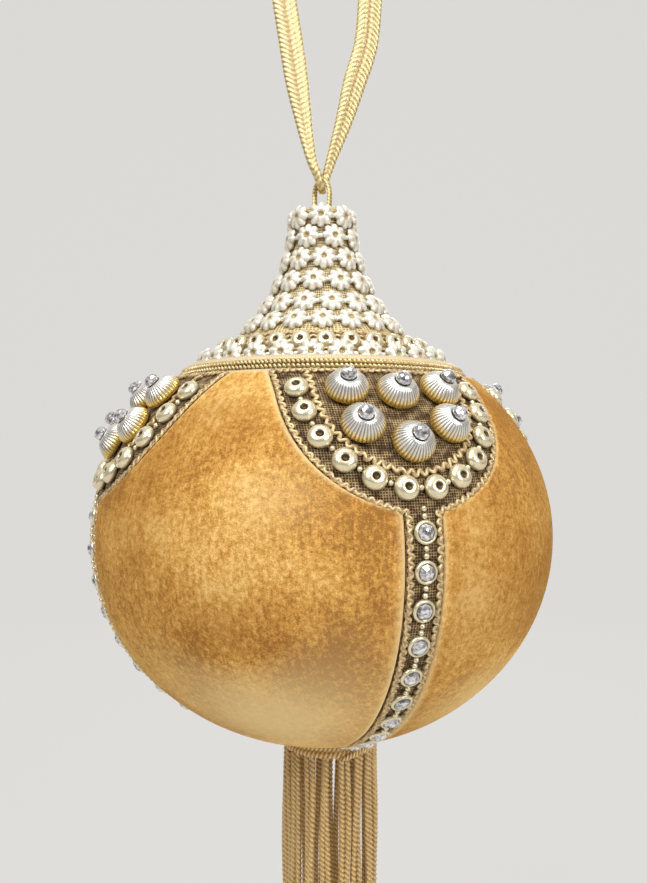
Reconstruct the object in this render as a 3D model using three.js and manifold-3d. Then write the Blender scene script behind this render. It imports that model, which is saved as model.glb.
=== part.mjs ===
// A ball-shaped potli evening bag that hangs from its hand strap.
// A stiff ball is covered in four velvet panels and four beaded bands. A zip round its
// mouth joins it to a trumpet-shaped beaded cap, which folds open on a cloth hinge at the
// back. A bullion-fringe tassel hangs from the bottom.
// Millimetres, +Z up. The first beaded band faces -Y. The origin is where the strap hangs.
import * as THREE from 'three';
import { mergeVertices } from 'three/addons/utils/BufferGeometryUtils.js';
import Module from 'manifold-3d';

// Driving dimensions: ball
const ballRadius = 71.4; // outside of the stiff shell, level with the middle
const ballHalfHeight = 64.3;
const shellWall = 2.0;
const liningWall = 0.5;
const mouthRadius = 47.2; // where the ball ends and the zip begins
const panelRise = 0.75; // slack between the faceted shell and the cloth over it
const velvetThickness = 1.2;
const bandClothThickness = 0.5;
const seamGap = 0.3; // air between pieces that touch on the real bag
const bottomHole = 6; // radius at which the covers end under the tassel

// Driving dimensions: beaded bands
const bandCount = 4;
const medallionHalfWidth = 31.6;
const medallionStraight = 11.4; // length of the straight sides below the zip
const medallionLength = 44.4;
const medallionFlare = 2.5; // exponents of the rounded lower end
const medallionRound = 1.7;
const stripHalfWidth = 4.9;
const stripFootHalfWidth = 3.5;
const outlineBlend = 1.6; // rounds the corner between medallion and strip
const cordThickness = 1.3;
const beadPitch = 8;
const rimInset = 5.8; // from the outline to the row of rim beads
const innerCordInset = 10;
const innerCordTop = 1.5; // its ends lie this far below the zip
const rimBeadRadius = 2.6;
const rimTop = 7; // from the zip to the end beads of the rim
const stonePitch = 9.4;
const stoneRadius = 2.4;
const stoneStart = 48.3; // from the zip to the first stone of the strip
const stoneEndRadius = 20; // the stones stop this far from the ball's axis
const domeRadius = 5.75;
const domeHeight = 4.6;
const crystalRadius = 2;

// Driving dimensions: zip
const zipLean = THREE.MathUtils.degToRad(55); // slope of the zip band
const zipAbove = 2.8; // from the middle of the teeth up to the cap's edge
const zipBelow = 3.2; // and down to the velvet
const zipOpenAngle = 133; // the teeth run this far to each side of the front, in degrees
const coilGap = 0.9; // between the two halves of the coil
const coilWidth = 1.15;
const coilThickness = 2.0;
const tapeThickness = 0.4;
const tapeTuck = 2; // how far each tape runs on under the covers
const sliderAngle = 140; // where the closed slider is parked
const sliderLength = 8.4;
const sliderWidth = 5.0;
const sliderPlate = 0.9;
const sliderSlot = 1.1; // height of the side slot that the tapes pass through
const sliderRoom = 0.4; // between coil and plates
const bridgeLength = 3.8;
const bridgeWidth = 1.2;
const bridgeRoom = 1.4; // clear height under the bridge
const bridgeWall = 0.5;
const tabLength = 14;
const tabWidth = 4.4;
const tabThickness = 0.7;
const tabWindow = 2.15; // length of the window that goes round the bridge
const hingeAngle = 148; // the cloth hinge covers the back from here round

// Driving dimensions: cap
const capInset = 1.25; // the flare starts this far inside the zip band's upper edge
const capDrop = 2.2; // and this far below it
const neckRadius = 8.7;
const neckRise = 52.3; // heights of the flare are measured from where it starts
const capBow = [[25.8, 8.7], [9.9, 25.6]]; // shape of the flare, as (radius, rise)
const capEdge = 1.4; // the cap's edge stops this far up the flare, clear of the slider
const capShellWall = 1.8;
const capClothThickness = 0.5;
const capTopThickness = 2.4;
const shoulderRadius = 2;
const capBeadRise = 1.2; // half the height of a cap bead
const flowerHalfWidth = 3.7;
const flowerPitch = 8.5;
const smallHalfWidth = 2.6;
const smallPitch = 7.2;

// Driving dimensions: strap, its loop and the tassel
const viewAngle = -20; // the strap's loop lies square to this direction, in degrees
const loopTurn = -35; // the small top loop is turned from the strap by this angle
const loopHalfWidth = 2.9;
const loopHeight = 9.6;
const loopBraid = [1.2, 2.4]; // thickness and width of its braid
const strapWidth = 8;
const strapThickness = 3;
const strapGathered = 2.6; // its width where it is gathered into the top loop
const strapGatherLength = 46;
const tasselRadius = 15.9;
const tasselWall = 4.2;
const tasselHeading = 2.6; // height of the fringe's heading
const tasselShift = 2.6; // the tassel is sewn on this far off the ball's axis
const strandCount = 34;
const strandLength = 100;
const strandRadius = 1.12;

const turnSegments = 24;
const wasm = await Module();
wasm.setup();
const degrees = THREE.MathUtils.degToRad;
const mix = THREE.MathUtils.lerp;

// Materials
const velvetGold = new THREE.MeshStandardMaterial({ color: 0xc88a38, roughness: 0.9 });
const paleGold = new THREE.MeshStandardMaterial({ color: 0xe3cf8c, roughness: 0.35, metalness: 0.7 });
const silver = new THREE.MeshStandardMaterial({ color: 0xe9e6dc, roughness: 0.2, metalness: 0.9 });
const plated = new THREE.MeshStandardMaterial({ color: 0xd9b45a, roughness: 0.25, metalness: 0.9 });
const brocade = new THREE.MeshStandardMaterial({ color: 0x8a6a34, roughness: 0.7 });
const bullion = new THREE.MeshStandardMaterial({ color: 0xc79a45, roughness: 0.5, metalness: 0.4 });
const satin = new THREE.MeshStandardMaterial({ color: 0xd9b878, roughness: 0.4 });
const board = new THREE.MeshStandardMaterial({ color: 0xd8d0c0, roughness: 0.8 });
const zipGold = new THREE.MeshStandardMaterial({ color: 0xdcc27e, roughness: 0.4, metalness: 0.5 });

// The ball's outline as seen from the side: the zip band leans in over the shell's ellipse.
// Distances along it are measured from the middle of the zip teeth, downwards.
const mouthHeight = ballHalfHeight * Math.sqrt(1 - (mouthRadius / ballRadius) ** 2);
const zipFoot = new THREE.Vector2(mouthRadius, mouthHeight);
const zipRun = new THREE.Vector2(Math.cos(zipLean), -Math.sin(zipLean));
const zipHead = zipFoot.clone().addScaledVector(zipRun, -(zipAbove + zipBelow + tapeTuck));
const ballCurve = new THREE.EllipseCurve(0, 0, ballRadius, ballHalfHeight,
  Math.atan2(mouthHeight / ballHalfHeight, mouthRadius / ballRadius), -Math.PI / 2, true);
const ballOutline = new THREE.CurvePath();
ballOutline.add(new THREE.LineCurve(zipHead, zipFoot));
ballOutline.add(ballCurve);
const ballStart = -(zipAbove + tapeTuck);
const ballEnd = ballStart + ballOutline.getLength();

// The cap's outline: one flare from inside the zip band up to the neck.
const zipTop = zipFoot.clone().addScaledVector(zipRun, -(zipAbove + zipBelow));
const capBase = new THREE.Vector2(zipTop.x - capInset, zipTop.y - capDrop);
const neckHeight = capBase.y + neckRise;
const [lowBow, highBow] = capBow.map(([radius, rise]) => new THREE.Vector2(radius, capBase.y + rise));
const capOutline = new THREE.CubicBezierCurve(capBase, lowBow, highBow,
  new THREE.Vector2(neckRadius, neckHeight));
const capRun = capOutline.getLength();

// The point of an outline at a share of its length, moved outwards along its normal.
function offset(curve, share, out, side) {
  const step = 1e-3;
  const low = curve.getPointAt(Math.max(0, share - step));
  const high = curve.getPointAt(Math.min(1, share + step));
  const tangent = high.sub(low).normalize();
  const normal = new THREE.Vector2(-tangent.y, tangent.x).multiplyScalar(side);
  return curve.getPointAt(share).addScaledVector(normal, out);
}

// The CurvePath's own getPointAt measures again what getPoint has already measured.
ballOutline.getPointAt = (share) => ballOutline.getPoint(share);

function ballPoint(along, out) {
  return offset(ballOutline, (along - ballStart) / (ballEnd - ballStart), out, 1);
}

function capPoint(up, out) {
  return offset(capOutline, up / capRun, out, -1);
}

// A place in space from a point of an outline and an angle from the front, towards +X.
function round(flat, angle) {
  return new THREE.Vector3(flat.x * Math.sin(angle), -flat.x * Math.cos(angle), flat.y);
}

function onBall(angle, along, out) {
  return round(ballPoint(along, out), angle);
}

// A place on a beaded band: across it from its middle line, and down from the zip band.
function onBand(turn, across, down, out) {
  const along = zipBelow + down;
  return onBall(turn + across / ballPoint(along, 0).x, along, out);
}

const steps = (from, to, count) => Array.from({ length: count + 1 }, (_, i) => mix(from, to, i / count));

// Turned pieces: an outline of (radius, height) points, spun about the ball's axis.
function turned(points, segments = turnSegments) {
  return new THREE.LatheGeometry(points, segments).rotateX(Math.PI / 2);
}

function closed(points) {
  return [...points, points[0].clone()];
}

// A closed geometry from rings of points, each ring as many points. Ends are fanned shut
// unless the rings join up in a circle.
function skinned(rings, joined = false) {
  const around = rings[0].length;
  const spans = joined ? rings.length : rings.length - 1;
  const index = [];
  for (let i = 0; i < spans; i++) {
    const here = i * around;
    const next = ((i + 1) % rings.length) * around;
    for (let j = 0; j < around; j++) {
      const k = (j + 1) % around;
      index.push(here + j, next + j, next + k, here + j, next + k, here + k);
    }
  }
  if (!joined) {
    const last = (rings.length - 1) * around;
    for (let j = 1; j < around - 1; j++) {
      index.push(0, j, j + 1, last, last + j + 1, last + j);
    }
  }
  const geometry = new THREE.BufferGeometry();
  geometry.setFromPoints(rings.flat());
  geometry.setIndex(index);
  return geometry;
}

// A thin closed sheet: place(i, j, face) gives its grid points, face 0 below and 1 above.
function sheet(rows, columns, place) {
  const rings = [];
  for (let i = 0; i <= rows; i++) {
    const above = steps(0, columns, columns).map((j) => place(i, j, 1));
    const below = steps(columns, 0, columns).map((j) => place(i, j, 0));
    rings.push([...above, ...below]);
  }
  const geometry = skinned(rings);
  const last = rows * rings[0].length;
  // The fans at both ends are swapped for strips, because a curved end isn't flat.
  const index = Array.from(geometry.index.array).slice(0, rows * rings[0].length * 6);
  const wrap = rings[0].length;
  for (let j = 0; j < columns; j++) {
    const other = wrap - 1 - j;
    index.push(j, j + 1, other - 1, j, other - 1, other);
    index.push(last + j, last + other - 1, last + j + 1, last + j, last + other, last + other - 1);
  }
  geometry.setIndex(index);
  return geometry;
}

// A string or cord along a path. Each station has a point, the direction it faces away
// from the surface, and its half width and half height there.
function strung(stations, sides, joined = false, turnBy = 0) {
  const count = stations.length;
  const rings = stations.map((station, i) => {
    const before = stations[joined ? (i + count - 1) % count : Math.max(0, i - 1)].point;
    const after = stations[joined ? (i + 1) % count : Math.min(count - 1, i + 1)].point;
    const tangent = after.clone().sub(before).normalize();
    const across = tangent.clone().cross(station.facing).normalize();
    const up = across.clone().cross(tangent).normalize();
    return steps(0, sides, sides).slice(0, sides).map((j) => {
      const angle = turnBy + (2 * Math.PI * j) / sides;
      return station.point.clone()
        .addScaledVector(across, Math.cos(angle) * station.halfWidth)
        .addScaledVector(up, Math.sin(angle) * station.halfHeight);
    });
  });
  return skinned(rings, joined);
}

// Solids for joining and cutting. Joins drop slivers thinner than this.
const sliver = 0.004;

function solid(geometry) {
  const bare = geometry.clone();
  bare.deleteAttribute('normal');
  bare.deleteAttribute('uv');
  const merged = mergeVertices(bare, 1e-4);
  return new wasm.Manifold(new wasm.Mesh({
    numProp: 3,
    vertProperties: merged.attributes.position.array,
    triVerts: new Uint32Array(merged.index.array),
  }));
}

function joinedUp(geometries) {
  const [first, ...others] = geometries.map(solid);
  const whole = others.reduce((sum, next) => sum.add(next), first).setTolerance(sliver).getMesh();
  const geometry = new THREE.BufferGeometry();
  geometry.setAttribute('position', new THREE.BufferAttribute(whole.vertProperties, 3));
  geometry.setIndex(new THREE.BufferAttribute(whole.triVerts, 1));
  return geometry;
}

const bag = new THREE.Group();

function place(name, geometry, material, group = bag) {
  const mesh = new THREE.Mesh(geometry, material);
  mesh.name = name;
  group.add(mesh);
  return mesh;
}

// Stiff ball and its satin lining, both open at the mouth
const shellTop = sliderWidth / 2 + 0.4; // along the outline, clear of the slider's plates
const shellOut = -(tapeThickness / 2 + seamGap);
const ballLevels = [0.05, 0.14, 0.26, 0.4, 0.55, 0.7, 0.85];

function bowl(outer, inner, edge) {
  const along = [edge, ...ballLevels.map((share) => mix(zipBelow, ballEnd, share))];
  const outside = along.map((s) => ballPoint(s, outer));
  const inside = along.map((s) => ballPoint(s, inner));
  const outerFoot = new THREE.Vector2(0, -(ballHalfHeight + outer));
  const innerFoot = new THREE.Vector2(0, -(ballHalfHeight + inner));
  return turned([outerFoot, ...outside.reverse(), ...inside, innerFoot]);
}

place('ball_shell', bowl(shellOut, shellOut - shellWall, shellTop), board);
const liningOut = shellOut - shellWall - seamGap;
place('ball_lining', bowl(liningOut, liningOut - liningWall, shellTop + 0.4), satin);

// Outline of a beaded band: how far its edge is from the middle line, so far below the zip
function medallionEdge(down, inset) {
  const length = medallionLength - inset;
  const share = THREE.MathUtils.clamp((down - medallionStraight) / (length - medallionStraight), 0, 1);
  return (medallionHalfWidth - inset) * (1 - share ** medallionFlare) ** (1 / medallionRound);
}

const bandLength = ballEnd - zipBelow;

function bandEdge(down) {
  const strip = mix(stripHalfWidth, stripFootHalfWidth,
    THREE.MathUtils.smoothstep(down, medallionLength, bandLength));
  const wide = medallionEdge(down, 0);
  return (wide + strip + Math.hypot(wide - strip, outlineBlend)) / 2;
}

// Rows of the cover pieces lie closer together round the medallion's lower end.
const coverTop = 0.5;
const coverFoot = bandLength - bottomHole;
const medallionShares = [0.11, 0.25, 0.47, 0.655, 0.785, 0.88, 0.947, 0.998, 1.046];
const stripRows = 7;
const medallionRows = medallionShares.map((share) => share * medallionLength);
const coverRows = [coverTop, ...medallionRows,
  ...steps(medallionRows[medallionRows.length - 1], coverFoot, stripRows).slice(1)];

function bandAngle(turn, down, side, clear) {
  const radius = ballPoint(zipBelow + down, 0).x;
  return turn + (side * (bandEdge(down) + clear)) / radius;
}

const bandTurn = (number) => (2 * Math.PI * (number - 1)) / bandCount;

// Velvet panels, each from one band's edge to the next band's
const velvetColumns = 7;

function velvetPanel(turn) {
  const next = turn + (2 * Math.PI) / bandCount;
  return sheet(coverRows.length - 1, velvetColumns, (i, j, face) => {
    const down = coverRows[i];
    const left = bandAngle(turn, down, 1, seamGap);
    const right = bandAngle(next, down, -1, seamGap);
    const out = panelRise + face * velvetThickness;
    return onBall(mix(left, right, j / velvetColumns), zipBelow + down, out);
  });
}

// Cloth of the beaded bands: medallion and strip in one piece, with a cord along each edge.
// Each row runs over the cord, across the middle and over the other cord.
const bandTop = panelRise + bandClothThickness;
const bandMiddle = 5; // columns between the two cords
const bandColumns = bandMiddle + 4;

function bandCloth(turn) {
  return sheet(coverRows.length - 1, bandColumns, (i, j, face) => {
    const down = coverRows[i];
    const edge = bandEdge(down);
    const inside = edge - cordThickness;
    const middle = mix(-inside, inside, THREE.MathUtils.clamp(j - 2, 0, bandMiddle) / bandMiddle);
    const across = [-edge, -(edge + inside) / 2][j] ?? [(edge + inside) / 2, edge][j - bandColumns + 1] ?? middle;
    const onCord = j === 1 || j === bandColumns - 1;
    const rise = bandClothThickness + (onCord ? cordThickness : 0);
    return onBand(turn, across, down, panelRise + face * rise);
  });
}

// A path on a band from (across, down) pairs, at even steps of its own length
function bandPath(turn, flat, count, out) {
  const curve = new THREE.SplineCurve(flat.map(([across, down]) => new THREE.Vector2(across, down)));
  return steps(0, 1, count).map((share) => {
    const { x, y } = curve.getPointAt(share);
    const point = onBand(turn, x, y, out);
    const facing = onBand(turn, x, y, out + 1).sub(point);
    return { point, facing };
  });
}

// A U-shaped line inside the medallion, as (across, down) pairs from top left to top right
function medallionLine(inset, top) {
  const foot = medallionLength - inset;
  const side = [0, 0.35, 0.62, 0.8, 0.91, 0.975].map((share) => {
    const down = mix(top, foot, share);
    return [medallionEdge(down, inset), down];
  });
  const left = side.map(([across, down]) => [-across, down]);
  return [...left, [0, foot], ...side.reverse()];
}

function innerCord(turn) {
  const path = bandPath(turn, medallionLine(innerCordInset, innerCordTop), 12, bandTop + cordThickness / 4);
  return strung(path.map((station) => ({
    ...station, halfWidth: cordThickness / 2, halfHeight: cordThickness / 2,
  })), 4);
}

// Beads on a thread: at even pitch, each bead is one wide station between two thin ones.
// The thread may run on before its first bead for some stations, the lead.
function beadString(stations, halfWidth, halfHeight, { joined = false, lead = 0 } = {}) {
  const thread = 0.3;
  return strung(stations.map((station, i) => {
    const share = i > lead && (i - lead) % 2 ? 1 : thread;
    return { ...station, halfWidth: halfWidth * share, halfHeight: halfHeight * share };
  }), 4, joined, Math.PI / 4);
}

// The rim beads follow the medallion's edge; the stones of the strip hang on from them.
const beadRise = 1.3;
const beadOut = bandTop + seamGap + beadRise * Math.SQRT1_2;

function bandBeads(turn) {
  const line = medallionLine(rimInset, rimTop);
  const flat = new THREE.SplineCurve(line.map(([x, y]) => new THREE.Vector2(x, y)));
  const rimCount = Math.round(flat.getLength() / beadPitch);
  const rim = beadString(bandPath(turn, line, 2 * rimCount, beadOut), rimBeadRadius * 1.2, beadRise);
  const stoneCount = Math.round((bandLength - stoneEndRadius - stoneStart) / stonePitch) + 1;
  const start = stoneStart - stonePitch / 2;
  const [link] = bandPath(turn, [[0, medallionLength - rimInset], [0, start]], 1, beadOut);
  const strip = bandPath(turn, [[0, start], [0, start + stoneCount * stonePitch]], 2 * stoneCount, beadOut);
  return joinedUp([rim, beadString([link, ...strip], stoneRadius * 1.2, beadRise, { lead: 1 })]);
}

// Fluted dome beads, six on each medallion, each with a crystal sewn on through its top
const domePlaces = [[-13, 9.5], [0, 11], [13.5, 9.6], [-11.8, 21.2], [0, 26.4], [12.2, 21.2]];

function domeBead() {
  const outline = [[0, 0], [domeRadius, 0], [domeRadius, 0.9], [domeRadius * 0.72, domeHeight * 0.78],
    [crystalRadius * 0.7, domeHeight], [crystalRadius, domeHeight + crystalRadius * 0.7],
    [0, domeHeight + crystalRadius * 1.7]];
  return turned(outline.map(([x, y]) => new THREE.Vector2(x, y)), 6);
}

function standOn(mesh, turn, across, down, out) {
  const foot = onBand(turn, across, down, out);
  const normal = onBand(turn, across, down, out + 1).sub(foot);
  mesh.position.copy(foot);
  mesh.quaternion.setFromUnitVectors(new THREE.Vector3(0, 0, 1), normal.normalize());
}

for (let band = 1; band <= bandCount; band++) {
  const turn = bandTurn(band);
  place(`velvet_panel_${band}`, velvetPanel(turn), velvetGold);
  place(`beaded_band_${band}`, joinedUp([bandCloth(turn), innerCord(turn)]), brocade);
  place(`band_beads_${band}`, bandBeads(turn), plated);
  domePlaces.forEach(([across, down], i) => {
    const bead = place(`dome_bead_${band}_${i + 1}`, domeBead(), plated);
    standOn(bead, turn, across, down, bandTop + seamGap + domeRadius ** 2 / (2 * ballHalfHeight));
  });
}

// Pieces that run part of the way round the mouth: a flat section carried along an arc
function arcPiece(section, from, to, count) {
  const rings = steps(degrees(from), degrees(to), count)
    .map((angle) => section.map((flat) => round(flat, angle)));
  return skinned(rings);
}

// Zip: the lower tape is sewn to the ball, and the upper tape to the cap
const coilNear = coilGap / 2;
const coilFar = coilNear + coilWidth;
const tapeNear = coilFar + seamGap;
const zipSteps = 28;

function bandSection(from, to, low, high) {
  return [ballPoint(from, low), ballPoint(to, low), ballPoint(to, high), ballPoint(from, high)];
}

const halfTape = tapeThickness / 2;
place('zip_tape_lower', turned(closed([
  ballPoint(tapeNear, -halfTape), ballPoint(zipBelow + 0.2, -halfTape), ballPoint(zipBelow + tapeTuck, -halfTape),
  ballPoint(zipBelow + tapeTuck, halfTape), ballPoint(zipBelow + 0.2, halfTape), ballPoint(tapeNear, halfTape),
]), 36), zipGold);
place('zip_coil_lower', arcPiece(bandSection(coilNear, coilFar, -coilThickness / 2, coilThickness / 2),
  -zipOpenAngle, zipOpenAngle, zipSteps), zipGold);

const zipGroup = new THREE.Group();
bag.add(zipGroup);
place('zip_coil_upper', arcPiece(bandSection(-coilFar, -coilNear, -coilThickness / 2, coilThickness / 2),
  -zipOpenAngle, zipOpenAngle, zipSteps), zipGold, zipGroup);
// The upper tape turns in behind the cap's edge, where it is sewn.
const tuckOut = capPoint(capEdge - seamGap, 0.2);
const tuckIn = capPoint(capEdge - seamGap, -0.2);
place('zip_tape_upper', arcPiece([
  ballPoint(-zipAbove, halfTape), ballPoint(-tapeNear, halfTape), ballPoint(-tapeNear, -halfTape),
  ballPoint(-zipAbove + 0.1, -halfTape), tuckIn, tuckOut,
].reverse(), -zipOpenAngle, zipOpenAngle, zipSteps), zipGold, zipGroup);

// Cloth hinge behind the cap: it fills the zip band from the cap's edge to the lower tape.
place('hinge_cloth', arcPiece(bandSection(-zipAbove + 0.4, tapeNear - seamGap, -halfTape, halfTape),
  hingeAngle, 360 - hingeAngle, 8), zipGold);

// Cap: stiff funnel, cloth cover and a lining disc that closes it from below
const capLevels = [0.12, 0.24, 0.36, 0.47, 0.57, 0.67, 0.82, 1];

function funnel(outer, inner, topOuter, topInner) {
  const up = [capEdge, ...capLevels.map((share) => share * capRun)];
  const outside = up.map((s) => capPoint(s, outer));
  const inside = up.map((s) => capPoint(s, inner));
  const axis = (height) => new THREE.Vector2(0, height);
  const shoulder = (point, height) => new THREE.Vector2(Math.max(point.x - shoulderRadius, 1), height);
  const top = outside[outside.length - 1];
  const under = inside[inside.length - 1];
  return turned([axis(topInner), shoulder(under, topInner), ...inside.reverse(),
    ...outside, shoulder(top, topOuter), axis(topOuter)]);
}

const capTop = neckHeight + shoulderRadius;
const capShellOut = -seamGap;
const capClothTop = capTop + seamGap + capClothThickness;
place('cap_shell', funnel(capShellOut, capShellOut - capShellWall, capTop, capTop - capTopThickness), board);
place('cap_cloth', funnel(capClothThickness, 0, capClothTop, capTop + seamGap), brocade);

const capRim = capPoint(capEdge, capShellOut - capShellWall);
const discRadius = capRim.x - 0.6;
const discHeight = capRim.y - 0.1;
const discRise = 4;
const discLine = (drop) => [0, 0.5, 1].map((share) => new THREE.Vector2(
  discRadius * (1 - share), discHeight - drop + discRise * Math.sin((share * Math.PI) / 2)));
place('cap_lining', turned([...discLine(liningWall).reverse(), ...discLine(0)]), satin);

// Rows of beads round the cap, each one string. The second row from below is of small round
// beads and all others are of flowers. Their places are shares of the flare's length.
const capRowShares = [0.073, 0.187, 0.37, 0.492, 0.625, 0.75, 0.868, 0.974];
const capBeadOut = capClothThickness + seamGap + capBeadRise * Math.SQRT1_2;

function capBeads(up, pitch, halfWidth) {
  const count = Math.round((2 * Math.PI * capPoint(up, capBeadOut).x) / pitch);
  const stations = steps(0, 2 * count, 2 * count).slice(0, 2 * count).map((i) => {
    const angle = (Math.PI * i) / count;
    const point = round(capPoint(up, capBeadOut), angle);
    return { point, facing: round(capPoint(up, capBeadOut + 1), angle).sub(point) };
  });
  return beadString(stations, halfWidth * 1.2, capBeadRise, { joined: true });
}

capRowShares.forEach((share, i) => {
  const [pitch, halfWidth] = i === 1 ? [smallPitch, smallHalfWidth] : [flowerPitch, flowerHalfWidth];
  place(`cap_beads_${i + 1}`, capBeads(share * capRun, pitch, halfWidth), i === 1 ? plated : silver);
});

// Slider, modelled at the front in its own frame: X round the mouth, Y up the slope, Z out
function box(x0, x1, y0, y1, z0, z1) {
  const geometry = new THREE.BoxGeometry(x1 - x0, y1 - y0, z1 - z0);
  return geometry.translate((x0 + x1) / 2, (y0 + y1) / 2, (z0 + z1) / 2);
}

const plateLow = coilThickness / 2 + sliderRoom;
const plateHigh = plateLow + sliderPlate;
const flangeWidth = 0.45;

// One plate with its two flanges, as a C section drawn along the slider
function channel(side) {
  const w = sliderWidth / 2;
  const section = new THREE.Shape([
    [-w, sliderSlot / 2], [-w + flangeWidth, sliderSlot / 2], [-w + flangeWidth, plateLow],
    [w - flangeWidth, plateLow], [w - flangeWidth, sliderSlot / 2], [w, sliderSlot / 2],
    [w, plateHigh], [-w, plateHigh],
  ].map(([y, z]) => new THREE.Vector2(y, z)));
  const geometry = new THREE.ExtrudeGeometry(section, { depth: sliderLength, bevelEnabled: false });
  geometry.translate(0, 0, -sliderLength / 2);
  // Section X and Y become the slider's Y and Z, and the depth runs along its X.
  geometry.applyMatrix4(new THREE.Matrix4().makeBasis(
    new THREE.Vector3(0, 1, 0), new THREE.Vector3(0, 0, 1), new THREE.Vector3(1, 0, 0)));
  return side > 0 ? geometry : geometry.rotateX(Math.PI);
}

function sliderBody() {
  const neck = 0.22;
  const bridgeTop = plateHigh + bridgeRoom + bridgeWall;
  const post = 0.6;
  const half = bridgeLength / 2;
  const w = bridgeWidth / 2;
  return joinedUp([
    channel(1), channel(-1),
    box(sliderLength / 2 - 2, sliderLength / 2, -neck, neck, -plateLow - 0.1, plateLow + 0.1),
    box(-half, -half + post, -w, w, plateHigh - 0.1, bridgeTop),
    box(half - post, half, -w, w, plateHigh - 0.1, bridgeTop),
    box(-half, half, -w, w, bridgeTop - bridgeWall, bridgeTop),
  ]);
}

const pinHeight = plateHigh + bridgeRoom / 2;

// The pull tab lies along the zip; its window goes round one post of the bridge.
function pullTab() {
  const bar = tabThickness / 2;
  const w = tabWidth / 2;
  const outline = new THREE.Shape();
  outline.moveTo(bar, -w);
  outline.lineTo(bar, w);
  outline.lineTo(-tabLength + w, w * 0.8);
  outline.absarc(-tabLength + w, 0, w * 0.8, Math.PI / 2, (3 * Math.PI) / 2, false);
  outline.closePath();
  const window = new THREE.Path();
  const windowHalf = bridgeWidth / 2 + 0.3;
  window.moveTo(-bar, -windowHalf);
  window.lineTo(-bar - tabWindow, -windowHalf);
  window.lineTo(-bar - tabWindow, windowHalf);
  window.lineTo(-bar, windowHalf);
  window.closePath();
  outline.holes.push(window);
  const geometry = new THREE.ExtrudeGeometry(outline, { depth: tabThickness, bevelEnabled: false, curveSegments: 6 });
  return geometry.translate(0, 0, pinHeight - tabThickness / 2);
}

const sliderSpin = new THREE.Group();
sliderSpin.rotation.z = degrees(sliderAngle);
const sliderFrame = new THREE.Group();
sliderFrame.position.copy(onBall(0, 0, 0));
sliderFrame.rotation.x = zipLean;
sliderSpin.add(sliderFrame);
bag.add(sliderSpin);
place('zip_slider', sliderBody(), plated, sliderFrame);
place('pull_tab', pullTab(), plated, sliderFrame);

// Top loop: a narrow braid bent into an arch that stands on the cap
const topLoop = new THREE.Group();
topLoop.rotation.z = degrees(viewAngle + loopTurn);
bag.add(topLoop);
const loopFoot = capClothTop + seamGap;
const loopCrown = loopFoot + loopHeight;
const loopPath = new THREE.CatmullRomCurve3([
  [-loopHalfWidth, loopFoot], [-loopHalfWidth, loopCrown - 3.4], [-loopHalfWidth * 0.7, loopCrown - 1.1],
  [0, loopCrown], [loopHalfWidth * 0.7, loopCrown - 1.1], [loopHalfWidth, loopCrown - 3.4],
  [loopHalfWidth, loopFoot],
].map(([x, z]) => new THREE.Vector3(x, 0, z)));
const loopStations = loopPath.getSpacedPoints(14).map((point, i, all) => {
  const tangent = all[Math.min(i + 1, 14)].clone().sub(all[Math.max(i - 1, 0)]).normalize();
  return { point, facing: tangent.cross(new THREE.Vector3(0, 1, 0)), halfWidth: loopBraid[1] / 2,
    halfHeight: loopBraid[0] / 2 };
});
place('top_loop', strung(loopStations, 6), paleGold, topLoop);

// Hand strap, a closed ring of braid: (right, towards the front, up from the top loop's crown)
// as seen square on, from under the crown up the left leg, over the hook and down the right leg
const strapRoute = [
  [0, 0, -3.3], [-0.4, 1.9, -2.3], [-1.4, 2.9, 0.5], [-3.2, 2.8, 4.9], [-5.0, 2.2, 12.7],
  [-6.4, 1.7, 20.6], [-7.8, 1.3, 28.6], [-10.2, 0.6, 44.6], [-12.7, 0.2, 60.7], [-14.4, 0, 74.1],
  [-14.2, 0, 86.1], [-10.6, 0, 97.1], [-4.0, 0, 104.3], [4.0, 0, 104.7], [11.2, 0, 98.7],
  [15.4, 0, 88.1], [16.4, 0, 75.1], [15.9, 0, 60.7], [14.4, -0.4, 44.6], [10.6, -0.9, 32.1],
  [7.4, -1.5, 20.6], [4.8, -2.1, 12.7], [2.2, -2.8, 4.9], [0.9, -2.9, 0.5], [0.3, -1.9, -2.3],
];
const strapSteps = 40;
const strapTwistFrom = 60; // above this height the braid turns flat over the hook
const strapTwistTo = 96;
const strapTurnFrom = -3; // and from here down it turns under the top loop's crown
const strapTurnTo = 8;
const strapCurve = new THREE.CatmullRomCurve3(
  strapRoute.map(([right, front, up]) => new THREE.Vector3(right, -front, up)), true, 'centripetal');
const strapLength = strapCurve.getLength();

function strapStation(point, i) {
  const run = (strapLength * i) / strapSteps;
  const fromEnd = Math.min(run, strapLength - run);
  const open = THREE.MathUtils.smoothstep(fromEnd, 0, strapGatherLength);
  const over = THREE.MathUtils.smoothstep(point.z, strapTwistFrom, strapTwistTo);
  const under = 1 - THREE.MathUtils.smoothstep(point.z, strapTurnFrom, strapTurnTo);
  const twist = Math.max(over, under);
  const middle = new THREE.Vector3(0.8, 0, (strapTwistFrom + strapTwistTo) / 2);
  const outward = point.clone().sub(middle).setY(0).normalize();
  const facing = new THREE.Vector3(0, -1, 0).multiplyScalar(1 - twist).addScaledVector(outward, twist);
  return {
    point, facing: facing.normalize(),
    halfWidth: mix(strapGathered, strapWidth, open) / 2,
    halfHeight: mix(strapGathered, strapThickness, open) / 2,
  };
}

const strapFrame = new THREE.Group();
strapFrame.rotation.z = degrees(viewAngle);
strapFrame.position.z = loopCrown;
bag.add(strapFrame);
const strapStations = strapCurve.getSpacedPoints(strapSteps).slice(0, strapSteps).map(strapStation);
place('hand_strap', strung(strapStations, 8, true), paleGold, strapFrame);

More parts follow.
